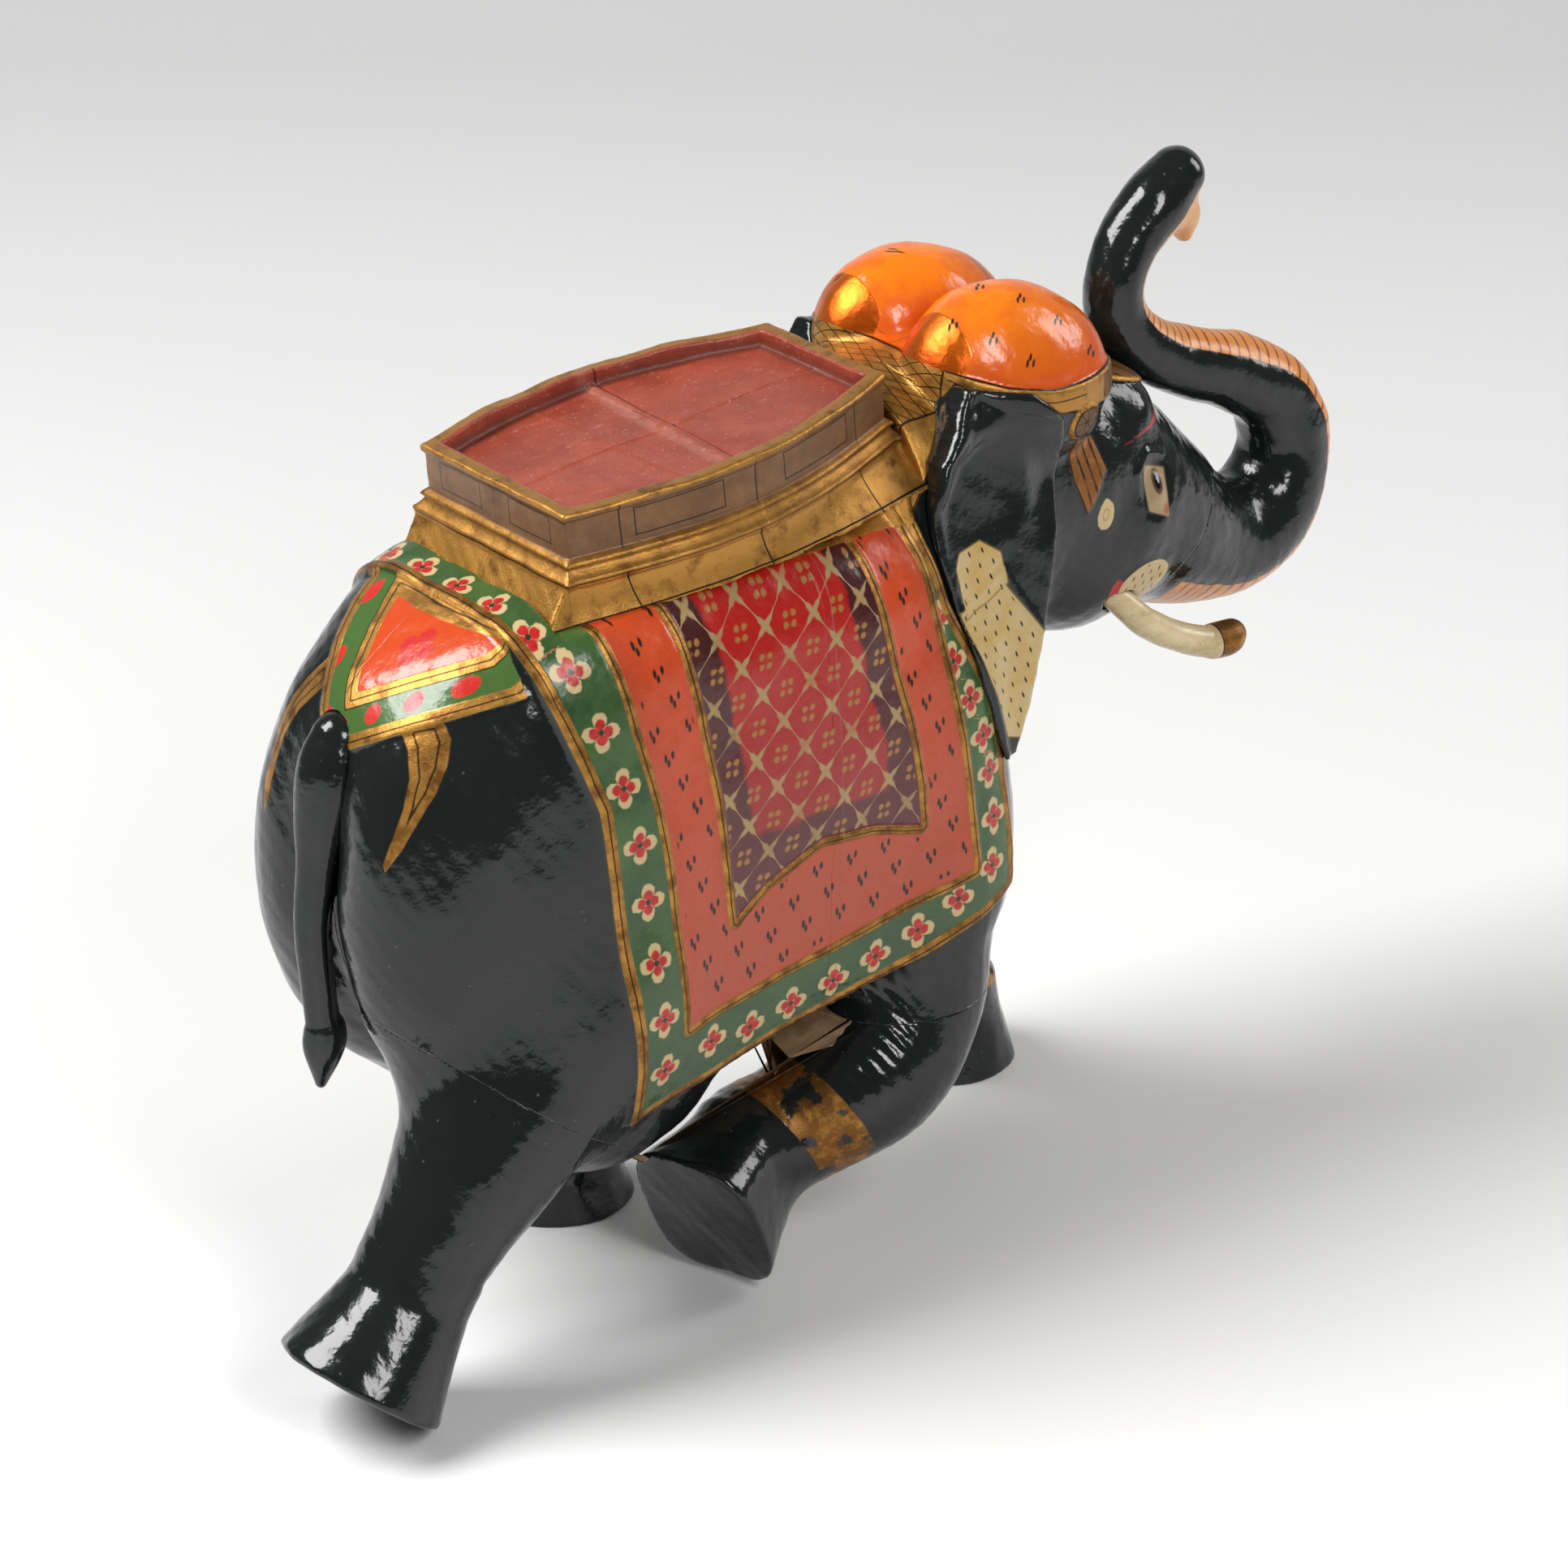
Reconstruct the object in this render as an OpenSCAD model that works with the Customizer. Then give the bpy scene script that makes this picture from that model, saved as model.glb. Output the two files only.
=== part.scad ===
// Carved and painted wooden elephant, glued up from blocks and pegged with dowels.
// +X points out of the forehead, +Y to the elephant's left and +Z up.
// The origin is on the floor, below the middle of the figure.

/* [Body] */
// Half of the width of the barrel of the body
body_half_w = 57; // [54:0.5:60]
// Height of the middle of the belly
belly_z = 162; // [158:0.5:166]
// Where the front and rear body blocks meet
block_joint_x = -34; // [-44:1:-28]
// Half of the distance between the two haunches
haunch_y = 22; // [18:0.5:26]

/* [Head] */
// Half of the distance between the two turban domes
dome_y = 21.5; // [20:0.5:23]
// Height of the middle of the turban domes
dome_z = 266; // [263:0.5:269]
// Clear gap between the raised trunk and the forehead
trunk_gap = 4; // [3:0.5:6]

/* [Howdah] */
// Length of the tray on the elephant's back
howdah_l = 122; // [118:1:126]
// Width of the tray at its rear edge
howdah_rear_w = 70; // [66:1:74]
// Width of the tray at its front edge
howdah_front_w = 55; // [52:1:58]
// How far the sides bow out past the straight line
howdah_bow = 13; // [10:0.5:15]
// Height of the upright walls
wall_h = 21; // [19:0.5:23]
// Thickness of the rim around the tray
rim_t = 4.5; // [4:0.5:6]
// Depth of the red tray below the rim
tray_depth = 5.5; // [5:0.5:7]
// Height of the sloping skirt below the walls
skirt_h = 13; // [12:0.5:15]
// How far the skirt runs out behind the walls
skirt_back = 12; // [9:0.5:14]
// Width of the skirt's lower edge at the rear
skirt_rear_w = 76; // [72:1:80]
// How far the skirt runs out in front of the walls
skirt_front = 4; // [3.5:0.5:6]
// Width of the skirt's lower edge at the front
skirt_front_w = 84; // [80:1:88]

/* [Dowels] */
// Radius of the dowels that pin the legs and the head
dowel_r = 5; // [4:0.5:6]
// Radius of the dowel in the trunk and in the tail
small_dowel_r = 3; // [2.5:0.5:3.5]
// Length of the leg and head dowels
dowel_l = 40; // [36:1:44]

/* [Hidden] */

LEFT = 1;
RIGHT = -1;
BIG = 600;

BLACK = [0.03, 0.035, 0.035];
GOLD = [0.62, 0.40, 0.12];
ORANGE = [0.85, 0.28, 0.05];
CREAM = [0.80, 0.70, 0.48];
WOOD = [0.62, 0.45, 0.28];

// Howdah frame: its base plane tilts up to the front.
howdah_x = -109;
howdah_base_z = 234.5;
howdah_tilt = 5.6;
tray_joint_x = 62;

// A round limb is a row of [x, y, z, radius].
TRUNK = [[118, 0, 208, 32], [134, 0, 197, 29], [150, 0, 187, 24], [170, 0, 179, 20],
         [188, 0, 182.5, 18], [198, 0, 196, 16], [199, 0, 211, 14.5], [191, 0, 225, 13.3],
         [175, 0, 235, 12.5], [157, 0, 242, 11.5], [140, 0, 250, 10.5], [128, 0, 261, 10],
         [124, 0, 274, 9.8], [129, 0, 287, 9.8], [139, 0, 298, 10.5], [149, 0, 306, 9]];
TRUNK_RAISED = 8;   // the first point of the stretch that curls back over the forehead

LEG_REAR_RIGHT = [[-112, -26, 116, 38], [-129, -32, 98, 32], [-147, -38, 80, 26],
                  [-161, -40, 63, 21], [-172, -40, 49, 18.5]];
LEG_REAR_LEFT = [[-118, 26, 124, 38], [-106, 33, 94, 31], [-90, 40, 64, 26],
                 [-76, 41, 40, 21], [-70, 42, 28, 20]];
LEG_FRONT_RIGHT = [[22, -25, 124, 32], [17, -29, 98, 29], [11, -34, 74, 27],
                   [-3, -38, 58, 25], [-24, -33, 45, 20], [-40, -29, 39, 20]];
LEG_FRONT_LEFT = [[34, 27, 124, 34], [52, 33, 92, 27], [68, 35, 62, 22],
                  [80, 37, 36, 19], [86, 37, 28, 19]];

// A foot is a flared cone: [ankle, ankle radius, sole centre, sole radius, squash across y].
FOOT_REAR_RIGHT = [[-170, -40, 48], 17.5, [-195.5, -40, 15.5], 27, 1];
FOOT_REAR_LEFT = [[-69, 42, 32], 19, [-65.6, 42, -4], 26, 1];
FOOT_FRONT_RIGHT = [[-41, -29, 38.5], 20, [-67.4, -38, 25.6], 27.5, 0.8];
FOOT_FRONT_LEFT = [[88, 37, 32], 18, [91.4, 37, -4], 24, 1];

TAIL = [[-168, 0, 202, 8], [-171, 0, 192, 10], [-174, 0, 178, 8.5], [-176, 0, 166, 6.6],
        [-179, 0, 146, 5.4], [-178, 0, 125, 4.9], [-177, 0, 114, 5], [-176.5, 0, 110, 6.2],
        [-177, 0, 105, 6], [-178.5, 0, 94, 1.8]];
TUSK = [[104, 26, 184, 4.2], [109, 28, 179, 4.6], [114, 29, 174, 4.8], [119, 29, 170.5, 4.9],
        [124, 29, 167.3, 4.9], [129, 29, 164.7, 4.9], [134, 29.3, 162.3, 5], [139, 29.6, 160.4, 5.1],
        [144, 30, 159, 5.1], [150, 30.5, 159.2, 5.2]];
EAR = [[31, 274], [24, 262], [17, 254], [14, 242], [14.5, 226], [17.5, 214], [24, 188], [31, 166],
       [36, 157], [41, 158], [48, 172], [54.5, 189], [60, 207], [65, 226], [69, 244], [65, 259], [52, 270]];

// Where a leg block meets the body: [point on the joint, tilt about y, how far the block
// reaches along x, how far it reaches down, how close it comes to the middle plane].
JOINT_REAR_RIGHT = [[-136, -38, 92], 38, 68, 160, 0];
JOINT_REAR_LEFT = [[-95, 38, 80], 0, 65, 160, 0];
JOINT_FRONT_LEFT = [[56, 34, 84], -24, 60, 160, 0];
// The front right leg is folded back below the thigh, so its room has its own outline in x and z.
ROOM_FRONT_RIGHT = [[-95, -10], [-95, 51.5], [-80, 53.5], [-60, 62], [-45, 68], [-45, 80], [75, 80], [75, -10]];

// Neck joint and trunk joint, as planes that lean about y.
NECK_JOINT = [[48, 0, 214], -21];
TRUNK_JOINT = [[139, 0, 196], 40];

// ---- helpers ----

function smooth_power(v, n) = sign(v) * pow(abs(v), 2 / n);

// Points of a rounded lump with semi-axes r. A power above 2 makes it squarer.
function lump_points(r, n) = [for (lat = [-75:15:75], lon = [0:15:345])
    [r[0] * smooth_power(cos(lat), n) * smooth_power(cos(lon), n),
     r[1] * smooth_power(cos(lat), n) * smooth_power(sin(lon), n),
     r[2] * smooth_power(sin(lat), n)]];

module lump(c, r, n = 2, tilt = 0) {
    pts = concat(lump_points(r, n), [[0, 0, r[2]], [0, 0, -r[2]]]);
    translate(c) rotate([0, -tilt, 0])
        hull() polyhedron(points = pts, faces = [[for (i = [0:len(pts) - 1]) i]]);
}

module ball(p, grow = 0, facets = 20) {
    translate([p[0], p[1], p[2]]) sphere(r = p[3] + grow, $fn = facets);
}

module limb(pts, first = 0, grow = 0, facets = 20) {
    for (i = [first:len(pts) - 2])
        hull() {
            ball(pts[i], grow, facets);
            ball(pts[i + 1], grow, facets);
        }
}

// Turns +z onto the line from a to b. Across y stays level.
module along(a, b) {
    d = b - a;
    // A line that runs backward is turned the other way round, so that x stays forward.
    back = d[0] < 0 ? -1 : 1;
    translate(a)
        rotate([0, back * acos(d[2] / norm(d)), back * atan2(d[1], back * d[0])])
            children();
}

module foot(f) {
    reach = norm(f[2] - f[0]);
    along(f[0], f[2])
        hull() {
            scale([1, f[4], 1]) cylinder(r = f[1], h = 1, $fn = 28);
            translate([0, 0, reach - 5]) scale([1, f[4], 1]) cylinder(r = f[3], h = 4, $fn = 28);
            translate([0, 0, reach - 1]) scale([1, f[4], 1]) cylinder(r = f[3] - 1.5, h = 1, $fn = 28);
        }
}

// Everything on the far side of a plane that leans by angle a about y.
module beyond(p, a) {
    translate(p) rotate([0, a, 0]) translate([0, -BIG / 2, -BIG / 2]) cube(BIG);
}

// The room below a leg joint, kept to one side of the body.
module below_joint(joint) {
    side_w = 80;
    from_middle = joint[0][1] > 0 ? joint[4] : -joint[4] - side_w;
    translate(joint[0]) rotate([0, joint[1], 0])
        translate([-joint[2], from_middle - joint[0][1], -joint[3]])
            cube([2 * joint[2], side_w, joint[3]]);
}

module below_front_right() {
    rotate([90, 0, 0]) linear_extrude(height = 80) polygon(ROOM_FRONT_RIGHT);
}

// ---- the carving before it is sawn into its blocks ----

// The square flank behind the saddle cloth, cut off along the cloth's sloping lower edge.
module flank() {
    difference() {
        lump([-36, 0, 146], [88, body_half_w, 70], n = 4);
        translate([-108, 0, 78]) rotate([0, -11.3, 0]) translate([-BIG / 2, -BIG / 2, -BIG]) cube(BIG);
    }
}

module torso_form() {
    lump([-41, 0, belly_z], [104, body_half_w, 80]);
    lump([-56, 0, 187], [92, 56, 56], n = 4);
    flank();
    lump([16, 0, 166], [45, 54, 76]);
    lump([-130, 0, 188], [43, 42, 44]);
    for (side = [LEFT, RIGHT])
        lump([-114, side * haunch_y, 153], [66, 38, 82]);
    lump([-98, -28, 112], [52, 28, 60]);
    lump([-98, 28, 116], [50, 28, 56]);
    lump([22, 0, 232], [36, 42, 42], n = 2.5);
}

module head_form() {
    lump([50, 0, 220], [44, 39, 55]);
    lump([88, 0, 222], [55, 35, 41], tilt = -32);
    lump([102, 0, 197], [32, 31, 30]);
    for (side = [LEFT, RIGHT])
        lump([111, side * 13, 240], [14, 13, 13]);
    for (side = [LEFT, RIGHT])
        lump([62, side * dome_y, dome_z], [37, 24, 29], tilt = -22);
}

module legs_form() {
    limb(LEG_REAR_RIGHT);
    limb(LEG_REAR_LEFT);
    limb(LEG_FRONT_RIGHT);
    limb(LEG_FRONT_LEFT);
    foot(FOOT_REAR_RIGHT);
    foot(FOOT_REAR_LEFT);
    foot(FOOT_FRONT_RIGHT);
    foot(FOOT_FRONT_LEFT);
}

// The whole carved body, with its soles flat on the floor.
module body_form() {
    difference() {
        union() {
            torso_form();
            legs_form();
        }
        translate([-BIG / 2, -BIG / 2, -BIG]) cube(BIG);
    }
}

// The room above the howdah's base plane.
module howdah_room() {
    place_howdah() translate([-40, -100, 0]) cube([40 + howdah_l + skirt_front, 200, 100]);
}

// ---- dowels ----

// A dowel across a joint: [middle, lean about y, radius, length].
LEG_DOWELS = [[JOINT_REAR_RIGHT[0], 38, dowel_r, dowel_l], [JOINT_REAR_LEFT[0], 0, dowel_r, dowel_l],
              [[12, -33, 80], 0, dowel_r, dowel_l], [JOINT_FRONT_LEFT[0], -24, dowel_r, dowel_l]];
HEAD_DOWELS = [for (side = [LEFT, RIGHT]) [[48, side * 18, 214], 69, dowel_r, dowel_l]];
TRUNK_DOWEL = [[139, 0, 196], 130, small_dowel_r, 30];
TAIL_DOWEL = [[-157, 0, 208], 65, small_dowel_r, 32];
HOWDAH_DOWELS = [for (x = [-92, 0], side = [LEFT, RIGHT])
    [[x, side * 20, howdah_base_z + 1 + (x - howdah_x) * tan(howdah_tilt)], 0, small_dowel_r, 16]];

module dowel(d) {
    translate(d[0]) rotate([0, d[1], 0]) cylinder(r = d[2], h = d[3], center = true, $fn = 48);
}

// A drilled hole whose flats just clear the round dowel.
module drilled(d) {
    facets = 24;
    translate(d[0]) rotate([0, d[1], 0])
        cylinder(r = d[2] / cos(180 / facets), h = d[3], center = true, $fn = facets);
}

module all_drilled() {
    for (d = concat(LEG_DOWELS, HEAD_DOWELS, HOWDAH_DOWELS)) drilled(d);
    drilled(TRUNK_DOWEL);
    drilled(TAIL_DOWEL);
}

// ---- howdah ----

module place_howdah() {
    translate([howdah_x, 0, howdah_base_z]) rotate([0, -howdah_tilt, 0]) children();
}

// Half of the width of a bowed outline, a fraction t of the way to the front.
function bowed(t, rear_w, front_w, bow) = (1 - t) * rear_w / 2 + t * front_w / 2 + bow * sin(180 * t);

// An outline from x0 to x1 with bowed sides.
module bowed_outline(x0, x1, rear_w, front_w, bow) {
    steps = 8;
    right = [for (i = [0:steps]) [x0 + i / steps * (x1 - x0), -bowed(i / steps, rear_w, front_w, bow)]];
    left = [for (i = [steps:-1:0]) [x0 + i / steps * (x1 - x0), bowed(i / steps, rear_w, front_w, bow)]];
    polygon(concat(right, left));
}

// Outline of the walls, moved out by d.
module howdah_outline(d) {
    bowed_outline(-d, howdah_l + d, howdah_rear_w + 2 * d, howdah_front_w + 2 * d, howdah_bow);
}

module skirt_outline() {
    bowed_outline(-skirt_back, howdah_l + skirt_front, skirt_rear_w, skirt_front_w, howdah_bow / 2 + 2);
}

module howdah_form() {
    difference() {
        union() {
            hull() {
                linear_extrude(height = 1) skirt_outline();
                translate([0, 0, skirt_h - 1]) linear_extrude(height = 1) howdah_outline(3);
            }
            translate([0, 0, skirt_h]) linear_extrude(height = wall_h / 4) howdah_outline(3);
            translate([0, 0, skirt_h + wall_h / 4]) linear_extrude(height = wall_h * 3 / 4) howdah_outline(0);
        }
        translate([0, 0, skirt_h + wall_h - tray_depth]) linear_extrude(height = 20) howdah_outline(-rim_t);
    }
}

module howdah_block(front, side) {
    color(GOLD) difference() {
        place_howdah() intersection() {
            howdah_form();
            translate([front ? tray_joint_x : tray_joint_x - BIG, side == LEFT ? 0 : -BIG, -BIG / 2]) cube(BIG);
        }
        for (d = HOWDAH_DOWELS) dowel(d);
    }
}

// ---- wooden blocks ----

module leg() {
    color(BLACK) difference() {
        intersection() {
            body_form();
            children();
        }
        all_drilled();
    }
}

module torso(front, side) {
    color(BLACK) difference() {
        intersection() {
            body_form();
            translate([front ? block_joint_x : block_joint_x - BIG, side == LEFT ? 0 : -BIG, -BIG / 2]) cube(BIG);
        }
        below_joint(JOINT_REAR_RIGHT);
        below_joint(JOINT_REAR_LEFT);
        below_front_right();
        below_joint(JOINT_FRONT_LEFT);
        beyond(NECK_JOINT[0], NECK_JOINT[1]);
        howdah_room();
        all_drilled();
        tail_form();
    }
}

module head(side) {
    color(ORANGE) difference() {
        intersection() {
            union() {
                head_form();
                torso_form();
                limb(TRUNK);
            }
            beyond(NECK_JOINT[0], NECK_JOINT[1]);
            translate([-BIG / 2, side == LEFT ? 0 : -BIG, -BIG / 2]) cube(BIG);
        }
        beyond(TRUNK_JOINT[0], TRUNK_JOINT[1]);
        limb(TRUNK, first = TRUNK_RAISED, grow = trunk_gap);
        howdah_room();
        tusk_form(side);
        all_drilled();
    }
}

module trunk() {
    color(BLACK) difference() {
        union() {
            intersection() {
                limb(TRUNK);
                beyond(TRUNK_JOINT[0], TRUNK_JOINT[1]);
            }
            limb(TRUNK, first = TRUNK_RAISED);
        }
        all_drilled();
    }
}

module ear(side) {
    color(BLACK) difference() {
        mirror([0, side == LEFT ? 0 : 1, 0])
            translate([0, 58, 150]) rotate([8, 0, 0]) rotate([90, 0, 0])
                linear_extrude(height = 24) translate([0, -150]) polygon(EAR);
        torso_form();
        head_form();
        legs_form();
        howdah_room();
    }
}

module tusk_form(side) {
    mirror([0, side == LEFT ? 0 : 1, 0]) limb(TUSK, facets = 16);
}

module tusk(side) {
    color(CREAM) tusk_form(side);
}

module tail_form() {
    limb(TAIL, facets = 12);
}

module tail() {
    color(BLACK) difference() {
        tail_form();
        drilled(TAIL_DOWEL);
    }
}

module dowels(list) {
    color(WOOD) for (d = list) dowel(d);
}

torso(false, LEFT);  // torso_rear_left
torso(false, RIGHT);  // torso_rear_right
torso(true, LEFT);  // torso_front_left
torso(true, RIGHT);  // torso_front_right
head(LEFT);  // head_left
head(RIGHT);  // head_right
trunk();
ear(LEFT);  // ear_left
ear(RIGHT);  // ear_right
tusk(LEFT);  // tusk_left
tusk(RIGHT);  // tusk_right
leg() below_joint(JOINT_FRONT_LEFT);  // leg_front_left
leg() below_front_right();  // leg_front_right
leg() below_joint(JOINT_REAR_LEFT);  // leg_rear_left
leg() below_joint(JOINT_REAR_RIGHT);  // leg_rear_right
tail();
howdah_block(false, LEFT);  // howdah_rear_left
howdah_block(false, RIGHT);  // howdah_rear_right
howdah_block(true, LEFT);  // howdah_front_left
howdah_block(true, RIGHT);  // howdah_front_right
dowels(LEG_DOWELS);  // leg_dowels
dowels(HEAD_DOWELS);  // head_dowels
dowels([TRUNK_DOWEL]);  // trunk_dowel
dowels([TAIL_DOWEL]);  // tail_dowel
dowels(HOWDAH_DOWELS);  // howdah_dowels
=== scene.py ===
"""A carved and painted wooden elephant, glued up from blocks, with a howdah tray.

The carving is one field of signed distances. It is meshed once and sawn along the glue
joints of the CAD model, so neighbouring blocks share their edges exactly. Lengths are in
millimetres until a mesh is made, because the carving was designed in millimetres.
"""
import math

import bpy
import numpy as np
import openvdb
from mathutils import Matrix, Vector
from mathutils.geometry import tessellate_polygon


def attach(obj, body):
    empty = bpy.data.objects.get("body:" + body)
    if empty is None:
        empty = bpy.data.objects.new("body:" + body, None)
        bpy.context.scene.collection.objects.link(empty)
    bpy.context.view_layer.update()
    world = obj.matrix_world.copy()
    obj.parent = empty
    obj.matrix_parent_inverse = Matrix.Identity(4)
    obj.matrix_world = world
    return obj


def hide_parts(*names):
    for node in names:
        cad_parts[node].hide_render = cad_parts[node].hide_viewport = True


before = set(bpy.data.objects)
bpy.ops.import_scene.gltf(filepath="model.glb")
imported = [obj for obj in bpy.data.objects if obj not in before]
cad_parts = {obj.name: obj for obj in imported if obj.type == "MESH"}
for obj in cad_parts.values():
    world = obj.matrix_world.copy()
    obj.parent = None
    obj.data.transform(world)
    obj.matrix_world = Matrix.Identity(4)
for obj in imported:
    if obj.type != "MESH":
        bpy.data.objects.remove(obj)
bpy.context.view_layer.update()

MM = 0.001
GRID = 0.8            # spacing of the carving's field
FINE_GRID = 0.6       # spacing of the fields of the small pieces
F32 = np.float32


# ---- signed distance fields ----

class Field:
    """Signed distances at the points of a regular grid, negative inside."""

    def __init__(self, low, high, step, fill=40.0):
        self.low = np.array(low, float)
        self.step = step
        count = [int(round((high[i] - low[i]) / step)) + 1 for i in range(3)]
        self.axes = [(self.low[i] + step * np.arange(count[i])).astype(F32) for i in range(3)]
        self.values = np.full(count, fill, F32)

    def part(self, low, high):
        """The slices and the coordinates of the grid between two corners."""
        cut = []
        for i in range(3):
            first = int(math.floor((low[i] - self.low[i]) / self.step))
            last = int(math.ceil((high[i] - self.low[i]) / self.step)) + 1
            cut.append(slice(max(first, 0), max(min(last, len(self.axes[i])), 0)))
        x = self.axes[0][cut[0]][:, None, None]
        y = self.axes[1][cut[1]][None, :, None]
        z = self.axes[2][cut[2]][None, None, :]
        return tuple(cut), x, y, z

    def add(self, blend, form):
        low, high, shape = form
        cut, x, y, z = self.part(low - blend - 5, high + blend + 5)
        self.values[cut] = soft_min(self.values[cut], shape(x, y, z), blend)

    def remove(self, blend, form, grow=0.0):
        low, high, shape = form
        reach = blend + grow + 5
        cut, x, y, z = self.part(low - reach, high + reach)
        self.values[cut] = soft_max(self.values[cut], grow - shape(x, y, z), blend)

    def raise_by(self, low, high, amount):
        """Moves the surface outwards by amount(x, y, z)."""
        cut, x, y, z = self.part(np.array(low, float), np.array(high, float))
        self.values[cut] -= amount(x, y, z)

    def mesh(self):
        """Points and triangles of the zero surface, facing outwards."""
        grid = openvdb.FloatGrid(self.step * 5)
        grid.copyFromArray(np.ascontiguousarray(self.values))
        grid.transform = openvdb.createLinearTransform(self.step)
        points, _, quads = grid.convertToPolygons(isovalue=0.0, adaptivity=0.0)
        points = np.array(points, float) + self.low
        quads = np.array(quads, np.int64)
        faces = np.vstack([quads[:, [0, 1, 2]], quads[:, [0, 2, 3]]])
        if volume(points, faces) < 0:
            faces = faces[:, ::-1]
        return points, faces


def volume(points, faces):
    a, b, c = (points[faces[:, i]] for i in range(3))
    return float(np.einsum("ij,ij->i", a, np.cross(b, c)).sum()) / 6


def soft_min(a, b, k):
    if k <= 0:
        return np.minimum(a, b)
    h = np.maximum(k - np.abs(a - b), 0) / k
    return (np.minimum(a, b) - h * h * k * 0.25).astype(F32)


def soft_max(a, b, k):
    return -soft_min(-a, -b, k)


def ramp(v, low, high):
    t = np.clip((v - low) / (high - low), 0, 1)
    return t * t * (3 - 2 * t)


def bump(v, middle, half_width):
    """A smooth bump of height 1, and 0 beyond half_width from the middle."""
    t = np.clip(1 - ((v - middle) / half_width) ** 2, 0, 1)
    return t * t


def lump(centre, radii, power=2.0, tilt=0.0):
    """A rounded lump. A power above 2 makes it squarer, and tilt lifts its front."""
    c, r = np.array(centre, float), np.array(radii, float)
    s, q = math.sin(math.radians(tilt)), math.cos(math.radians(tilt))
    e = power - 1

    def shape(x, y, z):
        u, v, w = x - c[0], np.abs(y - c[1]), z - c[2]
        u, w = np.abs(u * q + w * s), np.abs(w * q - u * s)
        k = ((u / r[0]) ** power + (v / r[1]) ** power + (w / r[2]) ** power) ** (1 / power)
        k = np.maximum(k, 1e-4)
        slope = np.sqrt(((u / r[0]) ** e / r[0]) ** 2 + ((v / r[1]) ** e / r[1]) ** 2
                        + ((w / r[2]) ** e / r[2]) ** 2) / k ** e + 1e-5
        return ((k - 1) / slope).astype(F32)

    span = max(r[0], r[2]) if tilt else 0
    reach = np.maximum(r, [span, 0, span])
    return c - reach, c + reach, shape


def smooth_row(points, per):
    """The rows with more rows between them, on a smooth curve through them all."""
    p = np.array(points, float)
    p = np.vstack([2 * p[0] - p[1], p, 2 * p[-1] - p[-2]])
    rows = []
    for i in range(1, len(p) - 2):
        a, b, c, d = p[i - 1:i + 3]
        for t in np.arange(per) / per:
            rows.append(0.5 * (2 * b + (c - a) * t + (2 * a - 5 * b + 4 * c - d) * t ** 2
                               + (3 * b - a - 3 * c + d) * t ** 3))
    rows.append(p[-2])
    return np.array(rows)


def limb(points, per=8, squash=1.0):
    """A round limb along rows of x, y, z and radius."""
    p = smooth_row(points, per)

    def shape(x, y, z):
        best = None
        for a, b in zip(p[:-1], p[1:]):
            d = b[:3] - a[:3]
            u, v, w = x - a[0], y - a[1], z - a[2]
            t = np.clip((u * d[0] + v * d[1] + w * d[2]) / float(d @ d), 0, 1)
            far = (u - t * d[0]) ** 2 + ((v - t * d[1]) / squash) ** 2 + (w - t * d[2]) ** 2
            far = np.sqrt(far) - (a[3] + t * (b[3] - a[3]))
            best = far if best is None else np.minimum(best, far)
        return best.astype(F32)

    r = p[:, 3].max()
    return p[:, :3].min(0) - r, p[:, :3].max(0) + r, shape


def foot(ankle, ankle_r, sole, sole_r, squash, power=2.0):
    """A foot that flares to its flat sole. A power above 2 makes it squarer."""
    a, b = np.array(ankle, float), np.array(sole, float)
    length = np.linalg.norm(b - a)
    d = (b - a) / length
    across = np.array((-d[1], d[0], 0)) / math.hypot(d[0], d[1])
    up = np.cross(d, across)

    def shape(x, y, z):
        u, v, w = x - a[0], y - a[1], z - a[2]
        t = u * d[0] + v * d[1] + w * d[2]
        level = np.abs(u * across[0] + v * across[1]) / squash
        upright = np.abs(u * up[0] + v * up[1] + w * up[2])
        r = (level ** power + upright ** power) ** (1 / power)
        grow = np.clip(t / length, 0, 1) ** 1.3
        side = (r - ankle_r - (sole_r - ankle_r) * grow) * 0.92
        ends = np.abs(t - length / 2) - length / 2
        return soft_max(side, ends, 2.5)

    r = max(ankle_r, sole_r)
    return np.minimum(a, b) - r, np.maximum(a, b) + r, shape


def inside(outline, u, v):
    """How far the points u, v lie inside a closed outline, negative outside."""
    far = np.full(np.broadcast(u, v).shape, 1e9)
    within = np.zeros(far.shape, bool)
    corners = list(outline)
    for (au, av), (bu, bv) in zip(corners, corners[1:] + corners[:1]):
        du, dv = bu - au, bv - av
        t = np.clip(((u - au) * du + (v - av) * dv) / (du * du + dv * dv), 0, 1)
        far = np.minimum(far, (u - au - t * du) ** 2 + (v - av - t * dv) ** 2)
        if av != bv:
            crosses = (av > v) != (bv > v)
            within ^= crosses & (u < au + (v - av) * du / dv)
    return np.where(within, 1, -1) * np.sqrt(far)


def line_distance(line, u, v):
    """Distance from the points u, v to an open line."""
    far = np.full(np.broadcast(u, v).shape, 1e9)
    for (au, av), (bu, bv) in zip(line[:-1], line[1:]):
        du, dv = bu - au, bv - av
        t = np.clip(((u - au) * du + (v - av) * dv) / (du * du + dv * dv), 0, 1)
        far = np.minimum(far, (u - au - t * du) ** 2 + (v - av - t * dv) ** 2)
    return np.sqrt(far)


# ---- design of the carving ----

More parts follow.
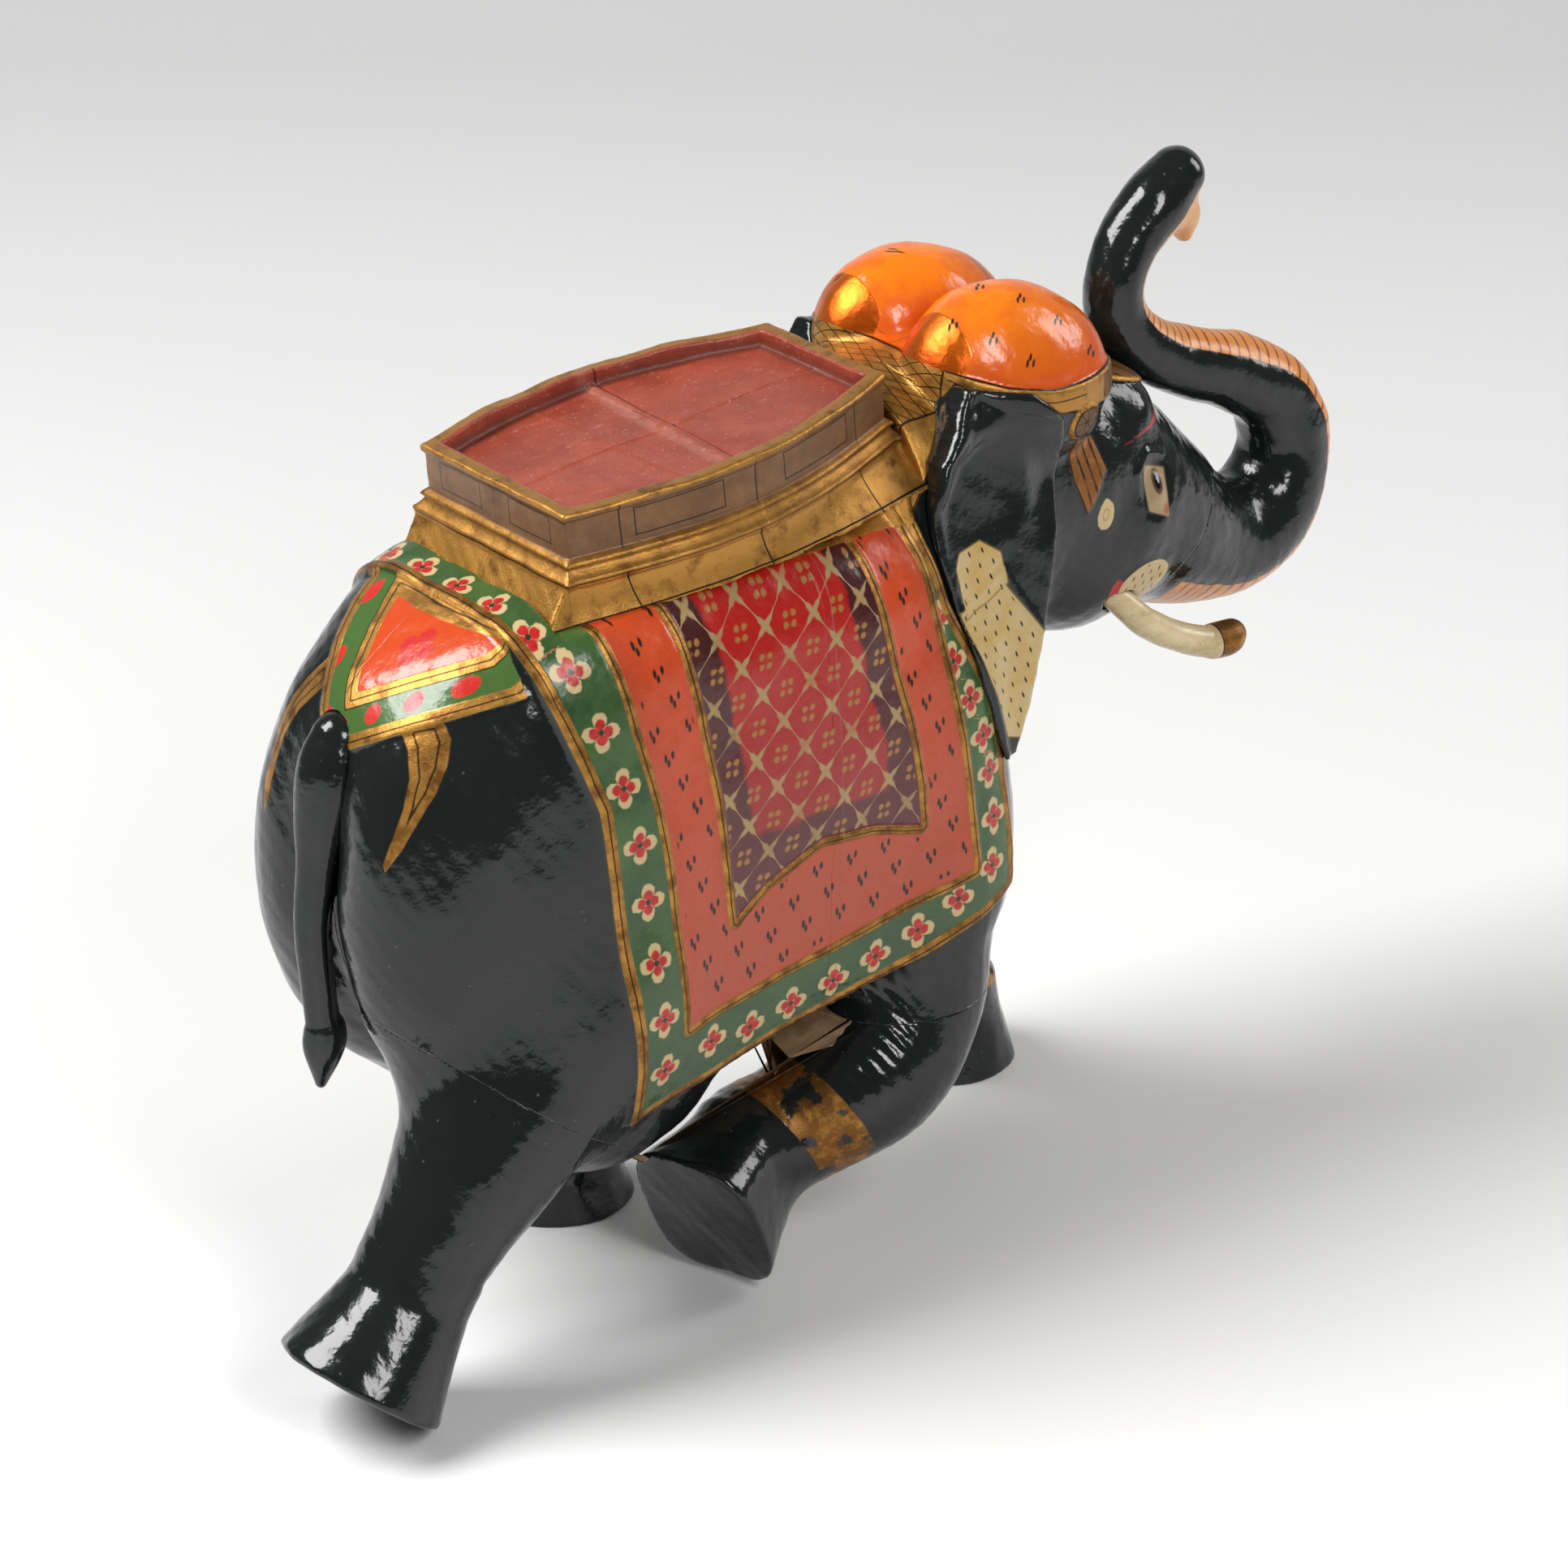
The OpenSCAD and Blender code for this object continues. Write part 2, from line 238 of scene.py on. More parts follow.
TRUNK = [(118, 0, 208, 32), (134, 0, 197, 29), (150, 0, 187, 24), (170, 0, 179, 20),
         (188, 0, 182.5, 18), (198, 0, 196, 16), (199, 0, 211, 14.5), (191, 0, 225, 13.3),
         (175, 0, 235, 12.5), (157, 0, 242, 11.5), (140, 0, 250, 10.5), (128, 0, 261, 10),
         (124, 0, 274, 9.8), (129, 0, 287, 9.8), (139, 0, 298, 10.5), (149, 0, 306, 9)]
TRUNK_RAISED = 8
TRUNK_GAP = 4
LEG_REAR_RIGHT = [(-112, -26, 116, 38), (-129, -32, 98, 32), (-147, -38, 80, 26),
                  (-161, -40, 63, 21), (-172, -40, 49, 18.5)]
LEG_REAR_LEFT = [(-118, 26, 124, 38), (-106, 33, 94, 31), (-90, 40, 64, 26),
                 (-76, 41, 40, 21), (-70, 42, 28, 20)]
LEG_FRONT_RIGHT = [(22, -25, 124, 32), (17, -29, 98, 29), (11, -34, 74, 27),
                   (-3, -38, 58, 25), (-24, -33, 45, 20), (-40, -29, 39, 20)]
LEG_FRONT_LEFT = [(34, 27, 124, 34), (52, 33, 92, 27), (68, 35, 62, 22),
                  (80, 37, 36, 19), (86, 37, 28, 19)]
FEET = [((-170, -40, 48), 17.5, (-195.5, -40, 15.5), 27, 1.0),
        ((-69, 42, 32), 19, (-65.6, 42, -4), 26, 1.0),
        ((-41, -29, 38.5), 20, (-67.4, -38, 25.6), 27.5, 0.8, 3.2),
        ((88, 37, 32), 18, (91.4, 37, -4), 24, 1.0)]
TAIL = [(-168, 0, 202, 8), (-171, 0, 192, 10), (-174, 0, 178, 8.5), (-176, 0, 166, 6.6),
        (-179, 0, 146, 5.4), (-178, 0, 125, 4.9), (-177, 0, 114, 5), (-176.5, 0, 110, 6.2),
        (-177, 0, 105, 6), (-178.5, 0, 94, 1.8)]
TUSK = [(104, 26, 184, 4.2), (109, 28, 179, 4.6), (114, 29, 174, 4.8), (119, 29, 170.5, 4.9),
        (124, 29, 167.3, 4.9), (129, 29, 164.7, 4.9), (134, 29.3, 162.3, 5), (139, 29.6, 160.4, 5.1),
        (144, 30, 159, 5.1), (150, 30.5, 159.2, 5.2)]
EAR = [(31, 274), (24, 262), (17, 254), (14, 242), (14.5, 226), (17.5, 214), (24, 188), (31, 166),
       (36, 157), (41, 158), (48, 172), (54.5, 189), (60, 207), (65, 226), (69, 244), (65, 259), (52, 270)]

# Glue joints: a point on the plane and the direction of its normal in x and z.
NECK_JOINT = ((48, 214), (0.934, 0.358))
TRUNK_JOINT = ((139, 196), (0.766, -0.643))
REAR_RIGHT_JOINT = ((-136, 92), (0.616, 0.788))
FRONT_LEFT_JOINT = ((56, 84), (-0.407, 0.914))
LEVEL_JOINT = ((0, 80), (0, 1))
BLOCK_JOINT = ((-34, 0), (1, 0))
# Line between the folded front leg and the thigh above it.
FOLD_X = (-95, -80, -60, -45)
FOLD_Z = (51.5, 53.5, 62, 68)

# Painted outlines in x and z.
CLOTH = [(-140, 250), (-134, 236), (-130, 220), (-125, 204), (-119, 186), (-117, 161), (-115, 135),
         (-108, 79), (-60, 87), (-11, 97.5), (14, 106), (42, 114), (40, 136), (37, 160), (30, 185),
         (16, 214), (9, 242), (9, 250)]
RED_BAND = [(-112, 250), (-107.5, 232), (-102.5, 206), (-97.5, 185), (-93, 153), (-90, 109.5),
            (-33, 117.5), (20, 127.5), (18, 151), (10.5, 193), (5, 228), (-2, 250)]
PANEL = [(-89, 250), (-85, 233), (-80.5, 210), (-75.3, 178.5), (-70.5, 137.5), (-59, 146),
         (-38.5, 155), (-19, 153), (0, 147.5), (-5, 179.5), (-12.7, 212), (-16, 231), (-20, 250)]
COLLAR = [(-40, 238), (8, 237), (16, 249), (26, 260.5), (31, 272), (37, 282), (37, 300), (-40, 300)]
EAR_CREAM = ([(20.5, 221.5), (23, 226), (32, 227.5), (40, 222), (41.5, 212), (33, 208), (22.5, 206)],
             [(19.5, 209), (30, 211), (37.5, 216), (54.5, 193.5), (51.5, 175.5), (43.5, 162.5),
              (36.5, 165), (27, 187.5)])
EYE = [(110.5, 228), (121.5, 224), (120.5, 208.5), (111.5, 212.5)]
TASSEL = [(76, 247), (89, 243), (93, 232), (84, 219), (78, 232)]
# The red wedge above the eye, in the distance from the middle and z.
RED_WEDGE = [(31, 235.5), (12, 243), (10, 249)]
# Painted outlines on the rump, in y and z.
RUMP = [(0, 197), (-26, 211), (-46, 221), (-52, 250), (40, 250), (33, 236), (22, 224), (11, 211)]
STRAPS = ([(-24, 212.5), (-33, 216), (-37, 211), (-39, 204), (-39.5, 197), (-38, 189), (-36, 181),
           (-33, 174), (-32, 176), (-33, 184), (-33.5, 192), (-32.5, 200), (-29, 207)],
          [(12, 214), (18, 219), (23, 212), (26, 206), (28.5, 198), (29, 190), (28, 181), (25, 172),
           (24, 178), (24.5, 187), (23.5, 196), (20, 204)])

HOWDAH_PLACE = (-109, 234.5)
HOWDAH_TILT = math.radians(5.6)
HOWDAH_L = 122
TRAY_JOINT = 62
SKIRT_H = 13
RIM_Z = 34
TRAY_Z = 28.5
RIM_T = 4.5


def dip(x, y, z):
    """Slow unevenness of the hand carving."""
    waves = np.sin(x * 0.21 + 1.3 * np.sin(z * 0.11)) * np.sin(y * 0.23 + 0.6) \
        + np.sin(z * 0.19 + 1.7 + y * 0.05) * np.sin(x * 0.13 - y * 0.17)
    chips = np.sin(x * 0.71 + z * 0.33) * np.sin(y * 0.63 - z * 0.41 + 0.4)
    return 0.22 * waves + 0.07 * chips


def cloth_relief(x, y, z):
    """The saddle cloth stands proud, with raised borders."""
    edge = inside(CLOTH, x, z)
    red = inside(RED_BAND, x, z)
    panel = inside(PANEL, x, z)
    height = 1.6 * ramp(edge, -0.9, 0.7)
    height += 0.55 * bump(edge, 2.2, 2.4) + 0.5 * bump(red, -1.6, 2.2) + 0.9 * bump(panel, -1.4, 2.2)
    return height * ramp(np.abs(y), 20, 40) * ramp(z, 70, 76)


def back_cloth_relief(x, y, z):
    """The cloth over the back behind the howdah, and the rump cloth."""
    over = ramp(x, -134.5, -133) * ramp(z, 205, 225) * (1 - ramp(np.abs(y), 24, 42))
    rim = bump(x, -131.5, 2.6) * ramp(z, 205, 225) * (1 - ramp(np.abs(y), 24, 42))
    rump = ramp(inside(RUMP, y, z), -0.7, 0.7) * (1 - ramp(x, -136, -130))
    return 1.6 * over + 0.5 * rim + 0.7 * rump


def face_relief(x, y, z):
    """Headband, medallion, eye, brow fold and mouth line."""
    side = np.abs(y)
    band = 1.1 * ramp(z, *[0, 1]) * band_mask(x, z)
    disc = 1.3 * ramp(-np.sqrt((x - 76) ** 2 + (z - 254) ** 2), -6.6, -5.8) * ramp(side, 26, 32)
    tassel = 0.9 * ramp(inside(TASSEL, x, z), -0.4, 0.8) * ramp(side, 22, 28)
    socket = -1.6 * ramp(-np.sqrt(((x - 116) / 8.5) ** 2 + ((z - 218) / 11) ** 2), -1.0, -0.55)
    ball = 1.9 * ramp(-np.sqrt(((x - 116.5) / 4.6) ** 2 + ((z - 218) / 6.5) ** 2), -1.0, -0.3)
    lid = 0.9 * bump(line_distance([(108, 226), (114, 230.5), (122, 228)], x, z), 0, 2.2)
    cheek = 0.8 * ramp(-np.sqrt(((x - 114) / 12) ** 2 + ((z - 187.5) / 8) ** 2), -1.2, -0.9)
    return band + disc + tassel + (socket + ball + lid + cheek) * ramp(side, 14, 20) \
        * (1 - ramp(x, 128, 134))


def band_top(x):
    return np.interp(x, (20, 31, 45, 61, 78, 92, 105, 120, 135), (281, 277, 272, 268.5, 268, 268.5, 266, 262, 258))


def band_bottom(x):
    return np.interp(x, (20, 31, 38, 45, 59, 67, 78, 92, 105, 120, 135),
                     (279, 274.5, 269.5, 265, 261, 260, 258.5, 257.5, 254, 250, 246))


def band_mask(x, z):
    return ramp(z, band_bottom(x) - 0.6, band_bottom(x) + 0.4) * ramp(-z, -band_top(x) - 0.4, -band_top(x) + 0.6) \
        * ramp(x, 30, 36)


def forefoot_ribs(x, y, z):
    """Saw marks along the inner side of the folded front leg."""
    along = -0.88 * x - 0.47 * z
    ribs = 0.5 * np.abs(np.sin(along * 0.85 + 0.4 * np.sin(y * 0.3)))
    top = ramp(z - np.interp(x, (-60, -38, -24, 0), (45, 46, 52, 66)), 6, 14)
    return -ribs * top * ramp(x, -48, -40) * (1 - ramp(x, -4, 4)) * ramp(-y, 6, 14)


def carving():
    """The whole body with its trunk, before it is sawn."""
    field = Field((-226, -76, -6), (226, 76, 324), GRID)
    torso = [(10, lump((-41, 0, 162), (104, 57, 80))),
             (10, lump((-56, 0, 187), (92, 56, 56), power=4)),
             (14, lump((16, 0, 166), (45, 54, 76))),
             (12, lump((-130, 0, 188), (43, 42, 44))),
             (10, lump((-114, -22, 153), (66, 38, 82))),
             (10, lump((-114, 22, 153), (66, 38, 82))),
             (14, lump((-98, -28, 112), (52, 28, 60))),
             (14, lump((-98, 28, 116), (50, 28, 56))),
             (10, lump((22, 0, 232), (36, 42, 42), power=2.5))]
    head = [(14, lump((50, 0, 220), (44, 39, 55))),
            (12, lump((88, 0, 222), (55, 35, 41), tilt=-32)),
            (12, lump((102, 0, 197), (32, 31, 30)))]
    for blend, form in torso[:2]:
        field.add(blend, form)
    flank = lump((-36, 0, 146), (88, 57, 70), power=4)
    field.add(4, (flank[0], flank[1], lambda x, y, z: soft_max(
        flank[2](x, y, z), (78 + 0.2 * (x + 108) - z) * 0.98, 4)))
    for blend, form in torso[2:] + head:
        field.add(blend, form)
    for leg in (LEG_REAR_RIGHT, LEG_REAR_LEFT, LEG_FRONT_RIGHT, LEG_FRONT_LEFT):
        field.add(12, limb(leg))
    for design in FEET:
        field.add(4, foot(*design))
    for side in (-1, 1):
        field.add(8, lump((111, side * 13, 240), (14, 13, 13)))
    for side in (-1, 1):
        field.add(3, lump((62, side * 21.5, 266), (37, 24, 29), tilt=-22))
    field.raise_by((-150, -76, 70), (60, 76, 256), cloth_relief)
    field.raise_by((-190, -60, 180), (-110, 60, 256), back_cloth_relief)
    field.raise_by((28, -60, 150), (140, 60, 290), face_relief)
    base = field.values.copy()
    field.raise_by((-70, -70, 20), (10, 0, 100), forefoot_ribs)
    field.remove(2, limb(TRUNK[TRUNK_RAISED:]), grow=TRUNK_GAP)
    field.add(9, limb(TRUNK[:TRUNK_RAISED + 1]))
    field.add(1, limb(TRUNK[TRUNK_RAISED - 2:]))
    field.add(3, limb(TRUNK_LIP))
    field.remove(1.5, limb(TRUNK_NOSTRIL))
    field.raise_by((-226, -76, -6), (226, 76, 324), dip)
    for side in (-1, 1):
        field.remove(1.0, limb([(x, side * y, z, r) for x, y, z, r in TUSK]), grow=0.8)
    field.remove(0.5, limb(TAIL), grow=0.1)
    cut, x, y, z = field.part(np.array((-140, -76, 200)), np.array((30, 76, 324)))
    lx, lz = howdah_xz(x, z)
    under = np.maximum(-lz + 1.0, np.maximum(lx - HOWDAH_L - 4 + 1.5, -lx - 12 + 1.5))
    field.values[cut] = np.maximum(field.values[cut], -under)
    field.values = np.maximum(field.values, -field.axes[2][None, None, :])
    return field, base


TRUNK_LIP = [(140, 0, 298, 9), (150, 0, 294, 7), (153, 0, 286, 3)]
TRUNK_NOSTRIL = [(150, 0, 298, 3), (156, 0, 297, 4.2), (160, 0, 296, 4.4)]


def howdah_xz(x, z):
    """World x and z in the howdah's own tilted frame."""
    dx, dz = x - HOWDAH_PLACE[0], z - HOWDAH_PLACE[1]
    s, c = math.sin(HOWDAH_TILT), math.cos(HOWDAH_TILT)
    return dx * c + dz * s, dz * c - dx * s


# ---- sawing ----

class Sawn:
    """Triangles on shared points, cut by planes into pieces with flat caps."""

    def __init__(self, points, faces):
        self.points = points
        self.faces = faces
        self.flat = np.zeros(len(faces), bool)

    def take(self, point, normal, near, chosen):
        """Cuts the faces that near() picks, and takes those on the side that chosen() picks."""
        n = np.array([normal[0], 0, normal[1]], float) if len(normal) == 2 else np.array(normal, float)
        p = np.array([point[0], 0, point[1]], float)
        self.split(p, n, near(self.points[self.faces].mean(1)))
        centre = self.points[self.faces].mean(1)
        side = (centre - p) @ n
        picked = chosen(centre, side)
        loops = self.border(picked)
        for loop in loops:
            off = np.abs((self.points[loop] - p) @ n).max()
            if off > 0.2:
                centre_of = self.points[loop].mean(0).round(1)
                print("LOOP OFF THE PLANE", len(loop), round(float(off), 2), centre_of)
        piece = (self.faces[picked], self.flat[picked])
        rest = (self.faces[~picked], self.flat[~picked])
        cap = self.cap(loops, n)
        out = n if side[picked].mean() < 0 else -n
        piece = self.close(piece, cap, out)
        self.faces, self.flat = self.close(rest, cap, -out)
        return piece

    def split(self, p, n, near):
        d = (self.points - p) @ n
        used = np.unique(self.faces[near])
        close = used[np.abs(d[used]) < 0.12]
        push = np.where(d[close] < 0, -0.12, 0.12) - d[close]
        self.points[close] += push[:, None] * n
        d = (self.points - p) @ n
        above = d[self.faces] > 0
        count = above.sum(1)
        crossing = near & (count > 0) & (count < 3)
        faces = self.faces[crossing]
        above = above[crossing]
        odd_above = above.sum(1) == 1
        odd = np.argmax(above == odd_above[:, None], 1)
        rows = np.arange(len(faces))
        a, b, c = (faces[rows, (odd + i) % 3] for i in range(3))
        edges = np.sort(np.vstack([np.stack([a, b], 1), np.stack([a, c], 1)]), 1)
        edges, back = np.unique(edges, axis=0, return_inverse=True)
        back = back.ravel()
        d0, d1 = d[edges[:, 0]], d[edges[:, 1]]
        t = (d0 / (d0 - d1))[:, None]
        new = self.points[edges[:, 0]] * (1 - t) + self.points[edges[:, 1]] * t
        start = len(self.points)
        self.points = np.vstack([self.points, new])
        ab, ac = start + back[:len(faces)], start + back[len(faces):]
        made = np.vstack([np.stack([a, ab, ac], 1), np.stack([ab, b, c], 1), np.stack([ab, c, ac], 1)])
        flat = np.tile(self.flat[crossing], 3)
        self.faces = np.vstack([self.faces[~crossing], made])
        self.flat = np.concatenate([self.flat[~crossing], flat])

    def border(self, picked):
        """Closed loops of points around the picked faces."""
        f = self.faces[picked]
        edges = np.vstack([f[:, [0, 1]], f[:, [1, 2]], f[:, [2, 0]]])
        key = edges[:, 0] * len(self.points) + edges[:, 1]
        other = edges[:, 1] * len(self.points) + edges[:, 0]
        follow = {}
        for a, b in edges[~np.isin(key, other)].tolist():
            follow.setdefault(a, []).append(b)
        loops = []
        while follow:
            first = next(iter(follow))
            loop, here = [], first
            while here in follow:
                loop.append(here)
                ahead = follow[here].pop()
                if not follow[here]:
                    del follow[here]
                here = ahead
            loops.append(loop)
        return loops

    def cap(self, loops, n):
        """Flat triangles across the loops."""
        u = np.cross(n, (0, 1, 0)) if abs(n[1]) < 0.5 else np.array((1.0, 0, 0))
        v = np.cross(n, u)
        rows = [[Vector((self.points[i] @ u, self.points[i] @ v, 0)) for i in loop] for loop in loops]
        order = [i for loop in loops for i in loop]
        made = [[order[i] for i in t] for t in tessellate_polygon(rows)]
        return np.array(made, np.int64)

    def close(self, piece, cap, out):
        a, b, c = (self.points[cap[:, i]] for i in range(3))
        facing = np.cross(b - a, c - a) @ out > 0
        cap = np.where(facing[:, None], cap, cap[:, ::-1])
        faces = np.vstack([piece[0], cap])
        return faces, np.concatenate([piece[1], np.ones(len(cap), bool)])


def anywhere(centre):
    return np.ones(len(centre), bool)


def saw_body(points, faces):
    """The carving's blocks by name."""
    work = Sawn(points, faces)
    blocks = {}
    raised = limb(TRUNK[TRUNK_RAISED - 1:], per=3)[2]

    def by_trunk(c):
        return (c[:, 0] > 100) & (c[:, 2] < 226) & (c[:, 2] > 150)

    def is_trunk(c, side):
        on = raised(c[:, 0], c[:, 1], c[:, 2]) < 2.2
        tip = (c[:, 0] > 106) & (c[:, 2] > 262)
        return on | tip | ((side > 0) & (c[:, 0] > 100) & (c[:, 2] > 150) & (c[:, 2] < 262))

    blocks["trunk"] = work.take(*TRUNK_JOINT, by_trunk, is_trunk)
    half = work.take((0, 0), (0, 1, 0), anywhere, lambda c, side: side > 0)
    for side, (faces, flat) in (("left", half), ("right", (work.faces, work.flat))):
        work.faces, work.flat = faces, flat
        blocks["head_" + side] = work.take(*NECK_JOINT, anywhere, lambda c, s: s > 0)
        if side == "left":
            blocks["leg_rear_left"] = work.take(
                *LEVEL_JOINT, lambda c: c[:, 0] < -28, lambda c, s: (s < 0) & (c[:, 0] < -28))
            blocks["leg_front_left"] = work.take(
                *FRONT_LEFT_JOINT, lambda c: c[:, 0] > 10, lambda c, s: (s < 0) & (c[:, 0] > 10))
        else:
            blocks["leg_rear_right"] = work.take(
                *REAR_RIGHT_JOINT, lambda c: c[:, 0] < -81, lambda c, s: (s < 0) & (c[:, 0] < -81))
            blocks["leg_front_right"] = work.take(
                *LEVEL_JOINT, lambda c: c[:, 0] > -44, is_front_right)
        blocks["torso_front_" + side] = work.take(*BLOCK_JOINT, anywhere, lambda c, s: s > 0)
        blocks["torso_rear_" + side] = (work.faces, work.flat)
    return work.points, blocks


def is_front_right(c, side):
    folded = (c[:, 0] <= -44) & (c[:, 2] < np.interp(c[:, 0], FOLD_X, FOLD_Z))
    return ((side < 0) & (c[:, 0] > -44)) | folded


# ---- meshes ----

def make_piece(name, points, faces, flat, node, slot, materials, marks=None):
    """A mesh object that replaces its CAD node. marks() gives the painting's numbers at points."""
    used, faces = np.unique(faces, return_inverse=True)
    faces = faces.reshape(-1, 3)
    p = points[used]
    mesh = bpy.data.meshes.new(name)
    mesh.vertices.add(len(p))
    mesh.vertices.foreach_set("co", (p * MM).astype(F32).ravel())
    mesh.loops.add(faces.size)
    mesh.loops.foreach_set("vertex_index", faces.astype(np.int32).ravel())
    mesh.polygons.add(len(faces))
    mesh.polygons.foreach_set("loop_start", np.arange(0, faces.size, 3, dtype=np.int32))
    mesh.polygons.foreach_set("material_index", flat.astype(np.int32))
    mesh.update(calc_edges=True)
    mesh.polygons.foreach_set("use_smooth", ~flat)
    for material in materials:
        mesh.materials.append(material)
    if marks:
        for key, value in marks(p).items():
            kind = "FLOAT" if value.ndim == 1 else "FLOAT_VECTOR"
            layer = mesh.attributes.new(key, kind, "POINT")
            layer.data.foreach_set("value" if value.ndim == 1 else "vector", value.astype(F32).ravel())
    mesh.validate()
    piece = bpy.data.objects.new(name, mesh)
    bpy.context.scene.collection.objects.link(piece)
    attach(piece, "root")
    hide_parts(node)
    return piece


def nearest_flower(x, z, centres):
    """Offsets from each point to the nearest of the centres."""
    centres = np.array(centres, float)
    best = None
    for cx, cz in centres:
        du, dv = x - cx, z - cz
        far = du * du + dv * dv
        if best is None:
            best, u, v = far, du, dv
        else:
            nearer = far < best
            best = np.where(nearer, far, best)
            u, v = np.where(nearer, du, u), np.where(nearer, dv, v)
    return u, v


def row_of(corners, spacing):
    """Points a spacing apart along a line through the corners."""
    line = smooth_row([(u, v, 0, 0) for u, v in corners], 12)[:, :2]
    steps = np.concatenate([[0], np.cumsum(np.linalg.norm(np.diff(line, axis=0), axis=1))])
    count = int(round(steps[-1] / spacing))
    at = np.linspace(0, steps[-1], count + 1)
    return [(np.interp(a, steps, line[:, 0]), np.interp(a, steps, line[:, 1])) for a in at]


FLOWERS = (row_of([(-121, 227), (-115.5, 209), (-109.5, 189), (-105.5, 169), (-103.5, 149), (-103, 132),
                   (-101, 114), (-99, 98)], 18.4)
           + row_of([(-79, 99.7), (-60, 98.5), (-43, 102), (-27, 105), (-11, 108.8), (2, 113), (14, 119)], 16.2)
           + row_of([(28, 126), (29.5, 141), (28, 157)], 15.5)
           + row_of([(24.5, 170), (20.5, 181), (16, 190), (13, 200), (10, 210)], 14))
SPOTS = (row_of([(-3, 207.5), (-24, 219), (-44, 229)], 13)
         + row_of([(4, 208), (13, 220), (22, 233)], 13))


def torso_marks(p):
    """Painting coordinates of the body blocks."""
    x, y, z = p.T
    side = ramp(np.abs(y), 12, 24)
    over = ramp(z, 228, 236)
    edge = inside(CLOTH, x, z)
    behind = x + 134.2
    cloth = np.where(over > 0, np.minimum(edge, behind), edge)
    cloth = np.where(np.abs(y) < 34, np.where(z > 200, behind, -9.0), cloth)
    fx, fz = nearest_flower(x, z, FLOWERS)
    top_u, top_v = nearest_flower(x, y, [(-127.5, k * 17.5 - 3) for k in (-2, -1, 0, 1, 2)])
    on_top = (z > 229) & (np.abs(y) < 44)
    fx, fz = np.where(on_top, top_u, fx), np.where(on_top, top_v, fz)
    strap = np.maximum(inside(STRAPS[0], y, z), inside(STRAPS[1], y, z))
    rear = x < -120
    return {"cloth": cloth,
            "red": np.where(np.abs(y) < 30, -30.0, inside(RED_BAND, x, z)),
            "panel": np.where(np.abs(y) < 30, -30.0, inside(PANEL, x, z)),
            "flower": np.stack([fx, fz, 0 * x], 1),
            "flower_r": np.hypot(fx, fz),
            "spot_r": np.hypot(*nearest_flower(y, z, SPOTS)),
            "rump": np.where(rear & (behind < 1.0), np.minimum(inside(RUMP, y, z), 1.0 - behind), -9.0),
            "rump_edge": np.where(rear, inside(RUMP, y, z), -9.0),
            "strap": np.where(rear & (z > 165), strap, -9.0),
            "collar": inside(COLLAR, x, z) + 0 * side}


def head_marks(p):
    x, y, z = p.T
    side = np.abs(y)
    on = ramp(side, 12, 14)
    return {"band_low": z - band_bottom(x),
            "band_top": z - band_top(x),
            "tassel": np.where(side > 20, inside(TASSEL, x, z), -9.0),
            "eye": np.where(on > 0, inside(EYE, x, z), -9.0),
            "wedge": np.where((on > 0) & (x > 95), inside(RED_WEDGE, side, z), -9.0),
            "collar": inside(COLLAR, x, z)}


def trunk_marks(p):
    """Arc length along the trunk, and how far round towards its underside."""
    path = smooth_row(TRUNK, 10)
    centre = path[:, [0, 2]]
    arc = np.concatenate([[0], np.cumsum(np.linalg.norm(np.diff(centre, axis=0), axis=1))])
    ahead = np.gradient(centre, axis=0)
    ahead /= np.linalg.norm(ahead, axis=1)[:, None]
    best = np.full(len(p), 1e9)
    along, under = np.zeros(len(p)), np.zeros(len(p))
    for i in range(len(path) - 1):
        d = centre[i + 1] - centre[i]
        u, w = p[:, 0] - centre[i, 0], p[:, 2] - centre[i, 1]
        t = np.clip((u * d[0] + w * d[1]) / float(d @ d), 0, 1)
        ou, ow = u - t * d[0], w - t * d[1]
        far = ou ** 2 + ow ** 2 + p[:, 1] ** 2
        nearer = far < best
        best = np.where(nearer, far, best)
        r = path[i, 3] + t * (path[i + 1, 3] - path[i, 3])
        along = np.where(nearer, arc[i] + t * np.linalg.norm(d), along)
        under = np.where(nearer, (ou * ahead[i, 1] - ow * ahead[i, 0]) / r, under)
    return {"along": along, "under": under}


def ear_marks(p):
    x, y, z = p.T
    return {"cream": np.maximum(inside(EAR_CREAM[0], x, z), inside(EAR_CREAM[1], x, z)),
            "lobe": inside(EAR_CREAM[0], x, z)}


# ---- small pieces ----

